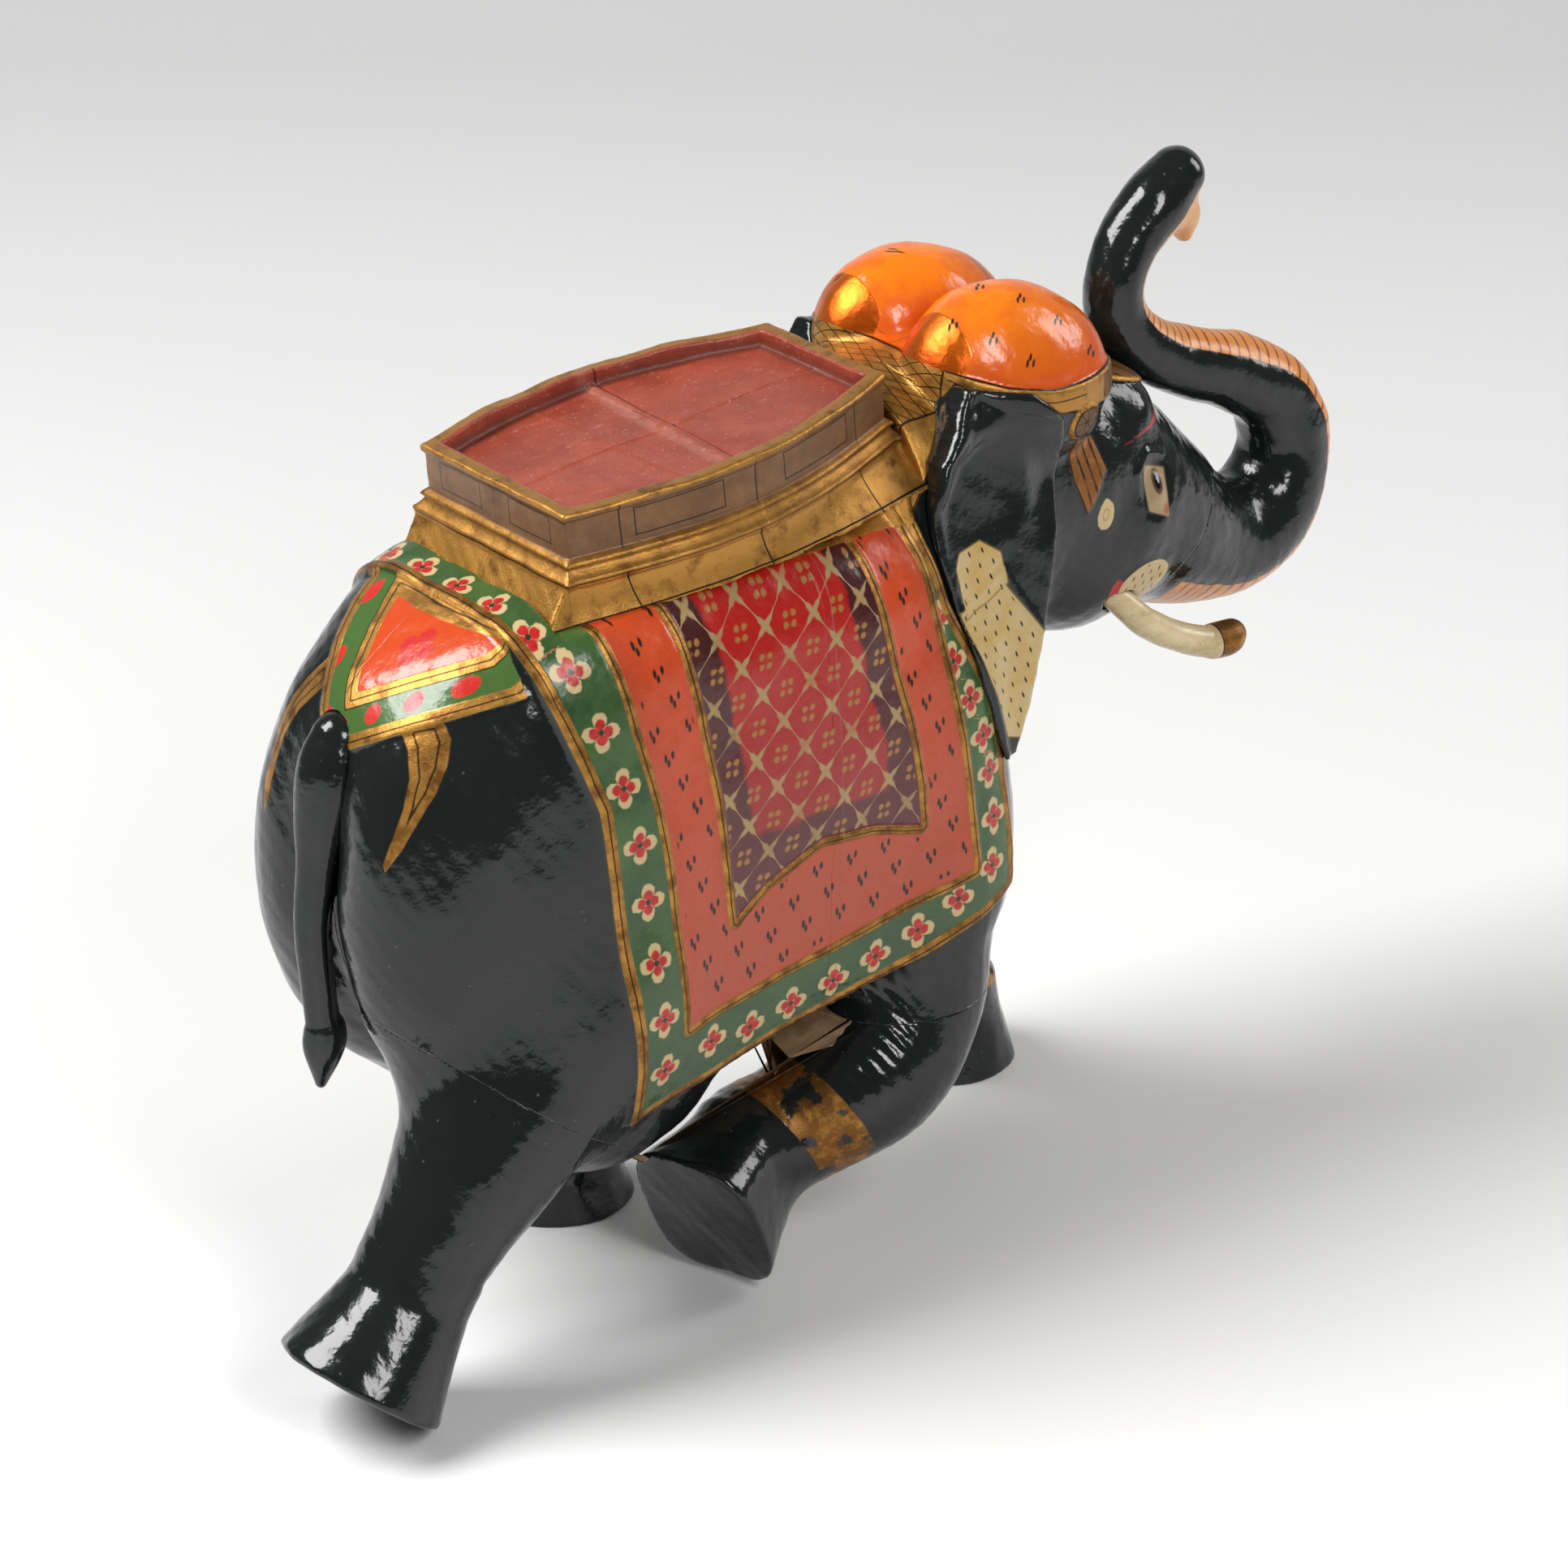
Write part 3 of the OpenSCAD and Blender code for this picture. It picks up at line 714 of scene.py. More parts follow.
def ear_piece(base):
    """The right ear: a flap laid on the carving, thick at its rear rim and thin in front."""
    index = [int(round((low - base_low) / GRID)) for low, base_low in
             zip((-4, -76, 146), (-226, -76, -6))]
    count = [int(round(size / GRID)) for size in (80, 60, 144)]
    cut = tuple(slice(i, i + n) for i, n in zip(index, count))
    body = base[cut]
    low = np.array((-226, -76, -6)) + GRID * np.array(index)
    high = low + GRID * (np.array(count) - 1)
    field = Field(low, high, GRID)
    _, x, y, z = field.part(low, high)
    outline = inside(EAR, x, z)
    rim = line_distance([(31, 274), (24, 262), (17, 254), (14, 242), (14.5, 226), (24, 188), (31, 166)], x, z)
    fold = line_distance([(16, 247), (22, 256), (33, 262), (50, 264)], x, z)
    lobe = line_distance([(19.5, 209), (30, 211), (40, 216), (54, 194)], x, z)
    hollow = bump(np.sqrt(((x - 36) / 18) ** 2 + ((z - 240) / 18) ** 2), 0, 1)
    out = 57 - 0.14 * (z - 150) + 2.6 * bump(rim, 0, 7) + 3.2 * bump(fold, 0, 8) + 0.7 * bump(lobe, 0, 2.2)
    out = out - 3.0 * hollow - 4.5 * ramp(x, 48, 66) * ramp(z, 215, 240)
    plate = np.maximum(np.abs(y) - out, out - 10 - np.abs(y))
    flap = np.maximum(soft_min((body - 2.2).astype(F32), plate.astype(F32), 3), -(body + 0.6))
    field.values = soft_max(flap.astype(F32), (-outline + 0 * y).astype(F32), 2.5)
    field.values -= (0.1 * np.sin(x * 0.4 + z * 0.3) * np.sin(z * 0.35 - y * 0.2)).astype(F32)
    field.values[[0, -1]] = 20
    field.values[:, [0, -1]] = 20
    field.values[:, :, [0, -1]] = 20
    return field.mesh()


def tusk_piece():
    form = limb(TUSK)
    field = Field(form[0] - 3, form[1] + 3, FINE_GRID)
    field.add(0, form)
    cap = limb([(144, 30, 159.2, 5.8), (149, 30.5, 159.2, 5.8), (151, 30.6, 160, 5.0)])
    field.add(0.6, cap)
    return field.mesh()


def tail_piece():
    form = limb(TAIL)
    field = Field(form[0] - 3, form[1] + 3, FINE_GRID)
    field.add(0, form)
    field.raise_by(form[0] - 3, form[1] + 3, facets)
    return field.mesh()


def facets(x, y, z):
    """The tail is whittled to a blunt square."""
    middle = np.interp(z, (94, 114, 146, 166, 178, 192, 202), (-178.5, -177, -179, -176, -174, -171, -168))
    angle = np.arctan2(y, x - middle)
    return 0.5 * np.cos(4 * angle + 0.6) * ramp(z, 96, 110) * (1 - ramp(z, 185, 200)) + 0 * x


def howdah_width(x, rear, front, bow, x0=0.0, x1=HOWDAH_L):
    t = np.clip((x - x0) / (x1 - x0), 0, 1)
    return (1 - t) * rear + t * front + bow * np.sin(math.pi * t)


def howdah_side(x, y, z):
    """Distance inside the howdah's upright outline."""
    side = (howdah_width(x, 35, 27.5, 13) - np.abs(y)) * 0.96
    return soft_min(side.astype(F32), np.minimum(x, HOWDAH_L - x).astype(F32), 0.8)


def howdah_profile(z):
    """How far the howdah's outside stands out from its walls at each height above the skirt."""
    flare = 3.3 - 2.2 * ramp(z, SKIRT_H + 0.4, SKIRT_H + 4.2)
    bead = 1.7 * bump(z, SKIRT_H + 5.4, 1.5)
    lip = 0.9 * ramp(z, RIM_Z - 3.2, RIM_Z - 2.0)
    foot_bead = 0.7 * bump(z, SKIRT_H + 0.6, 1.2)
    return flare * (1 - ramp(z, SKIRT_H + 4.4, SKIRT_H + 5.6)) + bead + lip + foot_bead


def howdah_field():
    field = Field((-15, -64, -3), (129, 64, 38), FINE_GRID)
    _, x, y, z = field.part(np.array((-15, -64, -3)), np.array((129, 64, 38)))
    outline = howdah_side(x, y, 0)
    wall = np.maximum(-outline - howdah_profile(z), SKIRT_H - 1 - z)
    t = np.clip(z / SKIRT_H, 0, 1)
    rear, front = -12 + 9 * t, HOWDAH_L + 4 - 1 * t
    low_w = howdah_width(x, 38, 42, 8.5, -12, HOWDAH_L + 4)
    high_w = howdah_width(x, 35, 27.5, 13) + 3
    sag = 1.0 * np.sin(math.pi * t)
    side = (np.abs(y) - ((1 - t) * low_w + t * high_w) + sag) * 0.84
    ends = np.maximum(rear - x, x - front) * 0.84
    skirt = np.maximum(soft_max(side.astype(F32), ends.astype(F32), 0.8), z - SKIRT_H)
    body = soft_min(skirt.astype(F32), wall.astype(F32), 1.2)
    top = soft_max(body, (z - RIM_Z + 0.25 * np.sin(x * 0.19) + 0.2 * np.sin(y * 0.31) + 0 * x).astype(F32), 1.4)
    floor = TRAY_Z + tray_floor(x, y)
    tray = soft_max((RIM_T - outline).astype(F32), (floor - z).astype(F32), 1.6)
    shape = soft_max(top, -tray, 0.9)
    shape = np.maximum(shape, -z)
    field.values = (shape - 0.5 * dip(x * 1.3, y * 1.3, z * 1.3 + 40)).astype(F32)
    return field


def tray_floor(x, y):
    """Unevenness of the tray: a glue ridge across it, two finer ones, and worn hollows."""
    ridge = 0.8 * bump(x - 0.03 * y, TRAY_JOINT, 2.6) - 0.5 * bump(x - 0.03 * y, TRAY_JOINT + 2.4, 1.2)
    fine = 0.3 * bump(x + 0.05 * y, 44, 1.1)
    lengthwise = 0.35 * bump(y + 0.8 * np.sin(x * 0.12), 0, 1.0)
    step = 0.45 * ramp(x, TRAY_JOINT - 1, TRAY_JOINT + 1)
    return ridge + fine + lengthwise + step + 0.2 * np.sin(x * 0.16 + 1) * np.sin(y * 0.14)


def from_howdah(points):
    """Howdah points put in their place on the elephant's back."""
    s, c = math.sin(HOWDAH_TILT), math.cos(HOWDAH_TILT)
    x, y, z = points.T
    return np.stack([HOWDAH_PLACE[0] + x * c - z * s, y, HOWDAH_PLACE[1] + x * s + z * c], 1)


def saw_howdah(points, faces):
    work = Sawn(points, faces)
    blocks = {}
    half = work.take((0, 0), (0, 1, 0), anywhere, lambda c, s: s > 0)
    for side, (faces, flat) in (("left", half), ("right", (work.faces, work.flat))):
        work.faces, work.flat = faces, flat
        blocks["howdah_front_" + side] = work.take((TRAY_JOINT, 0), (1, 0), anywhere, lambda c, s: s > 0)
        blocks["howdah_rear_" + side] = (work.faces, work.flat)
    return work.points, blocks


def howdah_marks(p):
    """The howdah's own coordinates, and how far each point stands from its walls."""
    x, z = howdah_xz(p[:, 0], p[:, 2])
    y = p[:, 1]
    return {"place": np.stack([x, y, z], 1), "wall": howdah_side(x, y, 0)}


def mirrored(mesh):
    points, faces = mesh
    return points * np.array((1, -1, 1)), faces[:, ::-1]


# ---- materials ----

class Value:
    """A number in a material, made of Math nodes by ordinary arithmetic."""

    def __init__(self, tree, socket):
        self.tree, self.socket = tree, socket

    def math(self, operation, *others, clamp=False):
        node = self.tree.nodes.new("ShaderNodeMath")
        node.operation = operation
        node.use_clamp = clamp
        for slot, value in zip(node.inputs, (self,) + others):
            if isinstance(value, Value):
                self.tree.links.new(value.socket, slot)
            else:
                slot.default_value = value
        return Value(self.tree, node.outputs[0])

    def __add__(self, other):
        return self.math("ADD", other)

    def __sub__(self, other):
        return self.math("SUBTRACT", other)

    def __mul__(self, other):
        return self.math("MULTIPLY", other)

    def __truediv__(self, other):
        return self.math("DIVIDE", other)

    def __neg__(self):
        return self * -1

    def abs(self):
        return self.math("ABSOLUTE")

    def min(self, other):
        return self.math("MINIMUM", other)

    def max(self, other):
        return self.math("MAXIMUM", other)

    def sin(self):
        return self.math("SINE")

    def cos(self):
        return self.math("COSINE")

    def sqrt(self):
        return self.math("SQRT")

    def around(self, period, start=0.0):
        """The distance to the nearest multiple of the period past the start, signed."""
        return (self - (start - period / 2)).math("FLOORED_MODULO", period) - period / 2

    def above(self, level, soft=0.18):
        """1 above the level and 0 below it, with a soft edge."""
        return ((self - level) * (0.5 / soft)).math("ADD", 0.5, clamp=True)

    def below(self, level, soft=0.18):
        return ((self - level) * (-0.5 / soft)).math("ADD", 0.5, clamp=True)

    def within(self, low, high, soft=0.18):
        return self.above(low, soft) * self.below(high, soft)


def length(u, v):
    return (u * u + v * v).sqrt()


class Paint:
    """A painted material, built up by laying one colour over another."""

    def __init__(self, name, colour, rough, metal=0.0):
        self.material = bpy.data.materials.new(name)
        self.material.use_nodes = True
        self.tree = self.material.node_tree
        self.shader = self.tree.nodes["Principled BSDF"]
        self.colour, self.rough, self.metal = colour, rough, metal
        place = self.tree.nodes.new("ShaderNodeTexCoord").outputs["Object"]
        scale = self.tree.nodes.new("ShaderNodeVectorMath")
        scale.operation = "SCALE"
        scale.inputs["Scale"].default_value = 1 / MM
        self.tree.links.new(place, scale.inputs[0])
        self.where = scale.outputs[0]
        self.x, self.y, self.z = self.split(self.where)
        self.height = self.noise(0.5, 3) * 0.06

    def split(self, socket):
        node = self.tree.nodes.new("ShaderNodeSeparateXYZ")
        self.tree.links.new(socket, node.inputs[0])
        return [Value(self.tree, out) for out in node.outputs]

    def mark(self, name):
        node = self.tree.nodes.new("ShaderNodeAttribute")
        node.attribute_name = name
        return Value(self.tree, node.outputs["Fac"])

    def mark_vector(self, name):
        node = self.tree.nodes.new("ShaderNodeAttribute")
        node.attribute_name = name
        return self.split(node.outputs["Vector"])

    def noise(self, scale, detail=2.0, rough=0.5, stretch=None):
        """Noise with features about 1/scale mm across."""
        node = self.tree.nodes.new("ShaderNodeTexNoise")
        node.inputs["Scale"].default_value = scale
        node.inputs["Detail"].default_value = detail
        node.inputs["Roughness"].default_value = rough
        source = self.where
        if stretch:
            by = self.tree.nodes.new("ShaderNodeVectorMath")
            by.operation = "MULTIPLY"
            by.inputs[1].default_value = stretch
            self.tree.links.new(source, by.inputs[0])
            source = by.outputs[0]
        self.tree.links.new(source, node.inputs["Vector"])
        return Value(self.tree, node.outputs[0])

    def specks(self, scale, size):
        """Scattered round specks."""
        node = self.tree.nodes.new("ShaderNodeTexVoronoi")
        node.inputs["Scale"].default_value = scale
        self.tree.links.new(self.where, node.inputs["Vector"])
        return Value(self.tree, node.outputs["Distance"]).below(size, 0.04)

    def cracks(self, scale, width):
        node = self.tree.nodes.new("ShaderNodeTexVoronoi")
        node.feature = "DISTANCE_TO_EDGE"
        node.inputs["Scale"].default_value = scale
        self.tree.links.new(self.where, node.inputs["Vector"])
        return Value(self.tree, node.outputs["Distance"]).below(width, 0.01)

    def mix_colour(self, mask, below, above):
        node = self.tree.nodes.new("ShaderNodeMix")
        node.data_type = "RGBA"
        self.feed(mask, node.inputs[0])
        self.feed(below, node.inputs[6])
        self.feed(above, node.inputs[7])
        return node.outputs[2]

    def feed(self, value, slot):
        if isinstance(value, Value):
            self.tree.links.new(value.socket, slot)
        elif isinstance(value, bpy.types.NodeSocket):
            self.tree.links.new(value, slot)
        elif isinstance(value, tuple):
            slot.default_value = value + (1.0,)
        else:
            slot.default_value = value

    def over(self, mask, colour=None, rough=None, metal=None, height=None):
        """Lays a colour, roughness or metal over the rest where the mask is 1."""
        if colour is not None:
            self.colour = self.mix_colour(mask, self.colour, colour)
        if rough is not None:
            self.rough = self.blend(mask, self.rough, rough)
        if metal is not None:
            self.metal = self.blend(mask, self.metal, metal)
        if height is not None:
            self.height = self.height + mask * height

    def blend(self, mask, low, high):
        if isinstance(high, Value):
            return (high - low) * mask + low if not isinstance(low, Value) else low + (high - low) * mask
        if isinstance(low, Value):
            return low + mask * (-low + high)
        return mask * (high - low) + low

    def finish(self, coat=0.0, bump_strength=1.0):
        self.feed(self.colour, self.shader.inputs["Base Color"])
        self.feed(self.rough, self.shader.inputs["Roughness"])
        self.feed(self.metal, self.shader.inputs["Metallic"])
        if coat:
            self.shader.inputs["Coat Weight"].default_value = coat
            self.shader.inputs["Coat Roughness"].default_value = 0.12
        node = self.tree.nodes.new("ShaderNodeBump")
        node.inputs["Strength"].default_value = bump_strength
        node.inputs["Distance"].default_value = MM
        self.feed(self.height, node.inputs["Height"])
        self.tree.links.new(node.outputs[0], self.shader.inputs["Normal"])
        return self.material


BLACK = (0.0075, 0.0095, 0.0092)
GREY_DUST = (0.045, 0.05, 0.046)
INK = (0.006, 0.004, 0.003)
GOLD = (0.47, 0.23, 0.045)
GOLD_DARK = (0.20, 0.085, 0.016)
COPPER = (0.42, 0.14, 0.03)
GREEN = (0.022, 0.062, 0.018)
GREEN_LIGHT = (0.055, 0.12, 0.025)
CREAM = (0.52, 0.39, 0.19)
RED = (0.52, 0.018, 0.012)
ORANGE_RED = (0.55, 0.06, 0.010)
BRICK = (0.42, 0.055, 0.018)
SALMON = (0.35, 0.07, 0.035)
MAROON = (0.055, 0.009, 0.008)
PANEL_RED = (0.40, 0.010, 0.006)
ORANGE = (0.80, 0.19, 0.006)
ORANGE_DEEP = (0.62, 0.07, 0.006)
OCHRE = (0.33, 0.15, 0.035)


def lacquer(name):
    """Black lacquer with brushed-on unevenness, dust and small pits."""
    paint = Paint(name, BLACK, 0.2)
    cloudy = paint.noise(0.035, 4, 0.6)
    paint.colour = paint.mix_colour((cloudy - 0.42) * 2.2, BLACK, (0.011, 0.014, 0.013))
    streaks = paint.noise(0.25, 5, 0.65, stretch=(1, 1, 0.4))
    paint.rough = streaks * 0.10 + 0.09
    paint.over(paint.specks(0.16, 0.05), (0.07, 0.07, 0.066), 0.4)
    scuffs = paint.noise(0.9, 6, 0.75).above(0.66, 0.05) * paint.noise(0.06, 2).above(0.52, 0.06)
    paint.over(scuffs * 0.25, GREY_DUST, 0.4)
    paint.height = paint.height + paint.noise(0.12, 3) * 0.5 + paint.noise(1.3, 3, 0.6) * 0.01
    return paint


def gold_over(paint, mask, worn=0.35):
    """Bronze gold paint, darker and coppery where it has worn."""
    grain = paint.noise(1.6, 4, 0.7)
    patches = paint.noise(0.16, 4, 0.65)
    colour = paint.mix_colour((patches - (0.62 - worn * 0.4)) * 5.0, GOLD, GOLD_DARK)
    colour = paint.mix_colour(paint.noise(0.5, 4, 0.7).above(0.63, 0.06) * worn * 1.6, colour, COPPER)
    paint.over(mask, colour, grain * 0.3 + 0.2, 0.75, height=0.0)
    paint.height = paint.height + mask * grain * 0.12


def flower(paint, u, v, mask, petal=2.3, reach=3.6):
    """A cream quatrefoil with a smaller red one on it and a dark middle."""
    wobble = (paint.noise(0.7, 2) - 0.5) * 1.1
    major = u.abs().max(v.abs())
    minor = u.abs().min(v.abs())
    outer = length(major - reach, minor) + wobble
    inner = length(major - reach * 0.62, minor) + wobble
    shape = outer.below(petal, 0.2).max(length(u, v).below(reach * 0.7, 0.2)) * mask
    paint.over(shape, CREAM, 0.32)
    red = paint.mix_colour(paint.noise(0.5, 2).above(0.5, 0.2), RED, (0.33, 0.012, 0.014))
    paint.over(inner.below(petal * 0.7, 0.2) * mask, red, 0.3)
    paint.over(length(u, v).below(0.9, 0.2) * mask, (0.01, 0.03, 0.01))


def dashes(paint, u, v, mask, pitch_u, pitch_v, size=1.0):
    """Groups of three short brush strokes on a staggered grid."""
    for shift in (0, 0.5):
        du = u.around(pitch_u, shift * pitch_u)
        dv = v.around(pitch_v, shift * pitch_v)
        for cu, cv, tall in ((-0.95, 0.25, 1.0), (0.85, 0.7, 0.95), (0.05, -1.0, 0.9)):
            su = (du - cu * size + (dv - cv * size) * 0.25) / (0.42 * size)
            sv = (dv - cv * size) / (tall * size)
            paint.over(length(su, sv).below(1.0, 0.25) * mask, INK, 0.3)


def lattice(paint, u, v, mask):
    """A net of stepped arches with four dots in each opening."""
    wide, tall = 17.6, 19.6
    v = v + (paint.noise(0.3, 2) - 0.5) * 0.9
    a, b = u * (2 * math.pi / wide), v * (2 * math.pi / tall)
    a, b = a + a.sin() * (b * 3).cos() * 0.45, b + b.sin() * (a * 3).cos() * 0.45
    level = (a.cos() + b.cos()).abs()
    slope = length(a.sin(), b.sin()) + 0.22
    fading = paint.noise(0.09, 2).above(0.40, 0.12) * 0.5 + 0.5
    paint.over((level / slope).below(0.075, 0.03) * mask * fading, (0.36, 0.24, 0.10), 0.35, height=0.04)
    for shift in (0, 0.5):
        du = u.around(wide, shift * wide)
        dv = v.around(tall, shift * tall)
        dot = length(du.abs() - 1.35, dv.abs() - 1.45) + (paint.noise(0.8, 1) - 0.5) * 0.8
        paint.over(dot.below(0.95, 0.25) * mask, OCHRE, 0.3, height=0.05)


def cloth_layers(paint):
    """The saddle cloth: green border with flowers, orange band and patterned panel."""
    edge, red, panel = paint.mark("cloth"), paint.mark("red"), paint.mark("panel")
    wave = (paint.noise(0.12, 2) - 0.5) * 0.8
    on = edge.above(0.3)
    green = paint.mix_colour(paint.noise(0.05, 3).above(0.5, 0.2), GREEN, GREEN_LIGHT)
    # Painted reflection of the white floor: the green is painted lighter and greyer towards the bottom.
    green = paint.mix_colour(paint.z.below(130, 40) * 0.45, green, (0.05, 0.075, 0.05))
    paint.over(on, green, paint.noise(0.4, 4) * 0.25 + 0.14)
    u, v, _ = paint.mark_vector("flower")
    flower(paint, u, v, edge.above(4.2) * red.below(-3.2) * paint.mark("flower_r").below(6.6))
    inner = red.above(0)
    band = paint.mix_colour(paint.z.below(165, 60), ORANGE_RED, SALMON)
    band = paint.mix_colour(red.below(5, 3) * 0.6, band, BRICK)
    band = paint.mix_colour(paint.noise(0.15, 4, 0.6).above(0.58, 0.1) * 0.5, band, BRICK)
    paint.over(inner, band, paint.noise(0.4, 4) * 0.25 + 0.15)
    dashes(paint, paint.x - paint.z * 0.22, paint.z, red.above(2.4) * panel.below(-4.2), 13.0, 17.0, 1.35)
    maroon = panel.above(0)
    fill = paint.mix_colour((panel + wave * 6).above(9.5, 0.8) * (paint.z + wave * 4).above(163, 1.2), MAROON, PANEL_RED)
    # Painted reflection of the white floor: the lower part of the panel is painted lighter and pinker.
    dust_and_floor_reflection = paint.z.below(190, 35) * 0.5
    fill = paint.mix_colour(dust_and_floor_reflection, fill, (0.15, 0.045, 0.045))
    paint.over(maroon, fill, paint.noise(0.4, 4) * 0.25 + 0.13)
    lattice(paint, paint.x + 44 - (paint.z - 190) * 0.18, paint.z - 196, panel.above(0.6))
    borders = (edge + wave * 0.5).within(0.3, 4.2).max((red + wave * 0.5).within(-3.1, 0.0)) \
        .max((panel + wave * 0.4).within(-2.9, 0.0))
    gold_over(paint, borders * on, worn=0.55)
    ink = (edge + wave).within(2.0, 2.45).max((red + wave).within(-1.9, -1.5)).max((panel + wave).within(-1.7, -1.3))
    paint.over(ink * on, INK, 0.35)


def rump_layers(paint):
    """The pointed rump cloth with its straps."""
    strap = paint.mark("strap")
    gold_over(paint, strap.above(0), worn=0.5)
    paint.over(strap.within(2.0, 2.4), INK)
    rump, edge = paint.mark("rump"), paint.mark("rump_edge")
    on = rump.above(0.2)
    paint.over(on, GREEN_LIGHT, 0.22)
    paint.over(paint.mark("spot_r").below(2.6, 0.25) * on, RED, 0.3)
    paint.over(edge.above(15) * on, ORANGE_RED, 0.2)
    flower_u, flower_v = paint.y + 12, (paint.z - 229) * 1.5
    petals = length(flower_u.abs().max(flower_v.abs()) - 3.4, flower_u.abs().min(flower_v.abs()))
    paint.over(petals.below(2.6, 0.25) * on * edge.above(16), RED, 0.3)
    gold_over(paint, edge.within(0.2, 4.3).max(edge.within(11.4, 15.2)) * on, worn=0.3)
    ink = edge.within(2.0, 2.4).max(edge.within(11.2, 11.5)).max(edge.within(13.2, 13.6))
    paint.over(ink * on, INK)


def collar_layers(paint):
    """Gold between the howdah and the head, netted with ink on top."""
    collar = paint.mark("collar")
    on = collar.above(0) * paint.z.above(238.5)
    gold_over(paint, on, worn=0.25)
    top = paint.y.abs().below(31, 0.3) * on
    along, across = paint.x + paint.z, paint.y
    net = (along + across * 0.5).around(4.6).abs().min((along - across * 0.5).around(4.6).abs())
    paint.over(net.below(0.2, 0.12) * top, INK)
    edge = collar.within(0.0, 0.55).max((paint.y.abs() - 31).abs().below(0.25)) * on
    paint.over(edge, INK)


def torso_paint():
    paint = lacquer("torso_paint")
    cloth_layers(paint)
    rump_layers(paint)
    collar_layers(paint)
    seam = (paint.x + 31 + (paint.noise(0.1, 2) - 0.5) * 0.8).abs().below(0.12, 0.1) * paint.mark("cloth").above(0)
    paint.over(seam * 0.5, (0.25, 0.2, 0.16), 0.5, height=-0.2)
    return paint.finish()


def head_paint():
    paint = lacquer("head_paint")
    collar_layers(paint)
    low, high = paint.mark("band_low"), paint.mark("band_top")
    side = paint.y.abs()
    turban = high.above(0)
    orange = paint.mix_colour((paint.z + paint.noise(0.08, 3) * 16).below(288, 14), ORANGE, ORANGE_DEEP)
    orange = paint.mix_colour(paint.noise(0.1, 3).above(0.56, 0.06) * 0.35, orange, ORANGE_RED)
    paint.over(turban, orange, paint.noise(0.4, 4) * 0.2 + 0.1)
    dashes(paint, paint.x + side * 0.5, side * 0.9 - paint.z * 0.8, turban * high.above(2.2), 25.0, 23.0, 1.25)
    crackle = paint.cracks(0.055, 0.012) * turban
    paint.over(crackle * 0.2, (0.40, 0.10, 0.03), 0.3, height=-0.03)
    seam = (side - 0.0).below(0.25, 0.2) * turban
    paint.over(seam, (0.25, 0.08, 0.03), 0.4)
    front = paint.x.above(30, 0.3)
    band = low.above(0) * high.below(0) * front
    gold_over(paint, band, worn=0.25)
    leaves = (paint.x * 0.6 + paint.y.abs() * -0.75 + low * 0.45).around(5.2).abs()
    leafy = paint.x.above(84, 0.5) * band * low.above(1.2) * high.below(-1.2)
    paint.over(leafy, GOLD_DARK, 0.4)
    paint.over(leafy * leaves.below(0.35, 0.2), INK)
    paint.over(high.within(-0.35, 0.25) * front, INK)
    paint.over((high + 4).within(-0.2, 0.2) * band * paint.x.below(74), INK)
    paint.over(low.within(-0.3, 0.1) * front * paint.x.below(70), INK)
    disc_u, disc_v = paint.x - 76, paint.z - 254
    disc = length(disc_u, disc_v)
    outside = side.above(26)
    gold_over(paint, disc.below(6.6) * outside, worn=0.3)
    paint.over(disc.below(5.1) * outside, (0.16, 0.075, 0.02), 0.4)
    spokes = (disc_u.math("ARCTAN2", disc_v) * 4).sin().abs() * disc
    paint.over((spokes.below(0.75, 0.4) * disc.below(5.1)).max(disc.within(4.8, 5.5)) * outside, INK)
    tassel = paint.mark("tassel")
    gold_over(paint, tassel.above(0), worn=0.9)
    paint.over(tassel.above(0) * 0.35, (0.45, 0.16, 0.05), 0.4)
    stripes = (paint.x * 0.9 + paint.z * 0.25).around(3.3).abs().below(0.4) * paint.noise(0.2, 2).above(0.42)
    paint.over(stripes * tassel.above(0.7), INK)
    paint.over(tassel.within(-0.1, 0.35), INK)
    face_layers(paint, side)
    return paint.finish()


def face_layers(paint, side):
    outside = side.above(12)
    bud = length((paint.x - 92.5) / 3.4, (paint.z - 217) / 5.0)
    ripple = (paint.noise(0.5, 1) - 0.5) * 0.4
    paint.over((bud + ripple).below(1.0, 0.06) * outside, CREAM, 0.3)
    paint.over(bud.within(0.32, 0.42, 0.05) * outside, (0.35, 0.2, 0.07))
    eye = paint.mark("eye")
    paint.over(eye.above(0), (0.35, 0.25, 0.13), 0.25)
    paint.over(eye.within(0.0, 0.3), INK)
    iris = length((paint.x - 116.6) / 2.2, (paint.z - 221) / 3.8)
    paint.over(iris.below(1.0, 0.1) * eye.above(0.1), (0.10, 0.05, 0.03))
    paint.over(iris.below(0.62, 0.1) * eye.above(0.1), INK, 0.1)
    corner = length(paint.x - 119.6, (paint.z - 211.5) / 1.6)
    paint.over(corner.below(1.1, 0.3) * eye.above(0.2), (0.42, 0.12, 0.08))
    paint.over(paint.mark("wedge").above(0) * outside, (0.42, 0.012, 0.012), 0.25)
    cheek_u, cheek_v = (paint.x - 113.5) / 11.5, (paint.z - 187.5) / 7.6
    cheek = length(cheek_u, cheek_v)
    crescent = cheek.within(0.8, 1.28, 0.03) * (cheek_u * 0.75 + cheek_v).below(-0.25, 0.1)
    paint.over(crescent * outside, (0.42, 0.015, 0.02), 0.25)
    paint.over(cheek.below(1.0, 0.02) * outside, CREAM, 0.3)
    ticks(paint, paint.x, paint.z, cheek.below(0.88, 0.02) * outside, 4.2, 3.6)


def ticks(paint, u, v, mask, pitch_u, pitch_v):
    """Short upright brush strokes on a staggered grid."""
    for shift in (0, 0.5):
        du = u.around(pitch_u, shift * pitch_u)
        dv = v.around(pitch_v * 2, shift * pitch_v * 2)
        stroke = length(du / 0.38, dv / 0.95)
        paint.over(stroke.below(1.0, 0.25) * mask, INK)


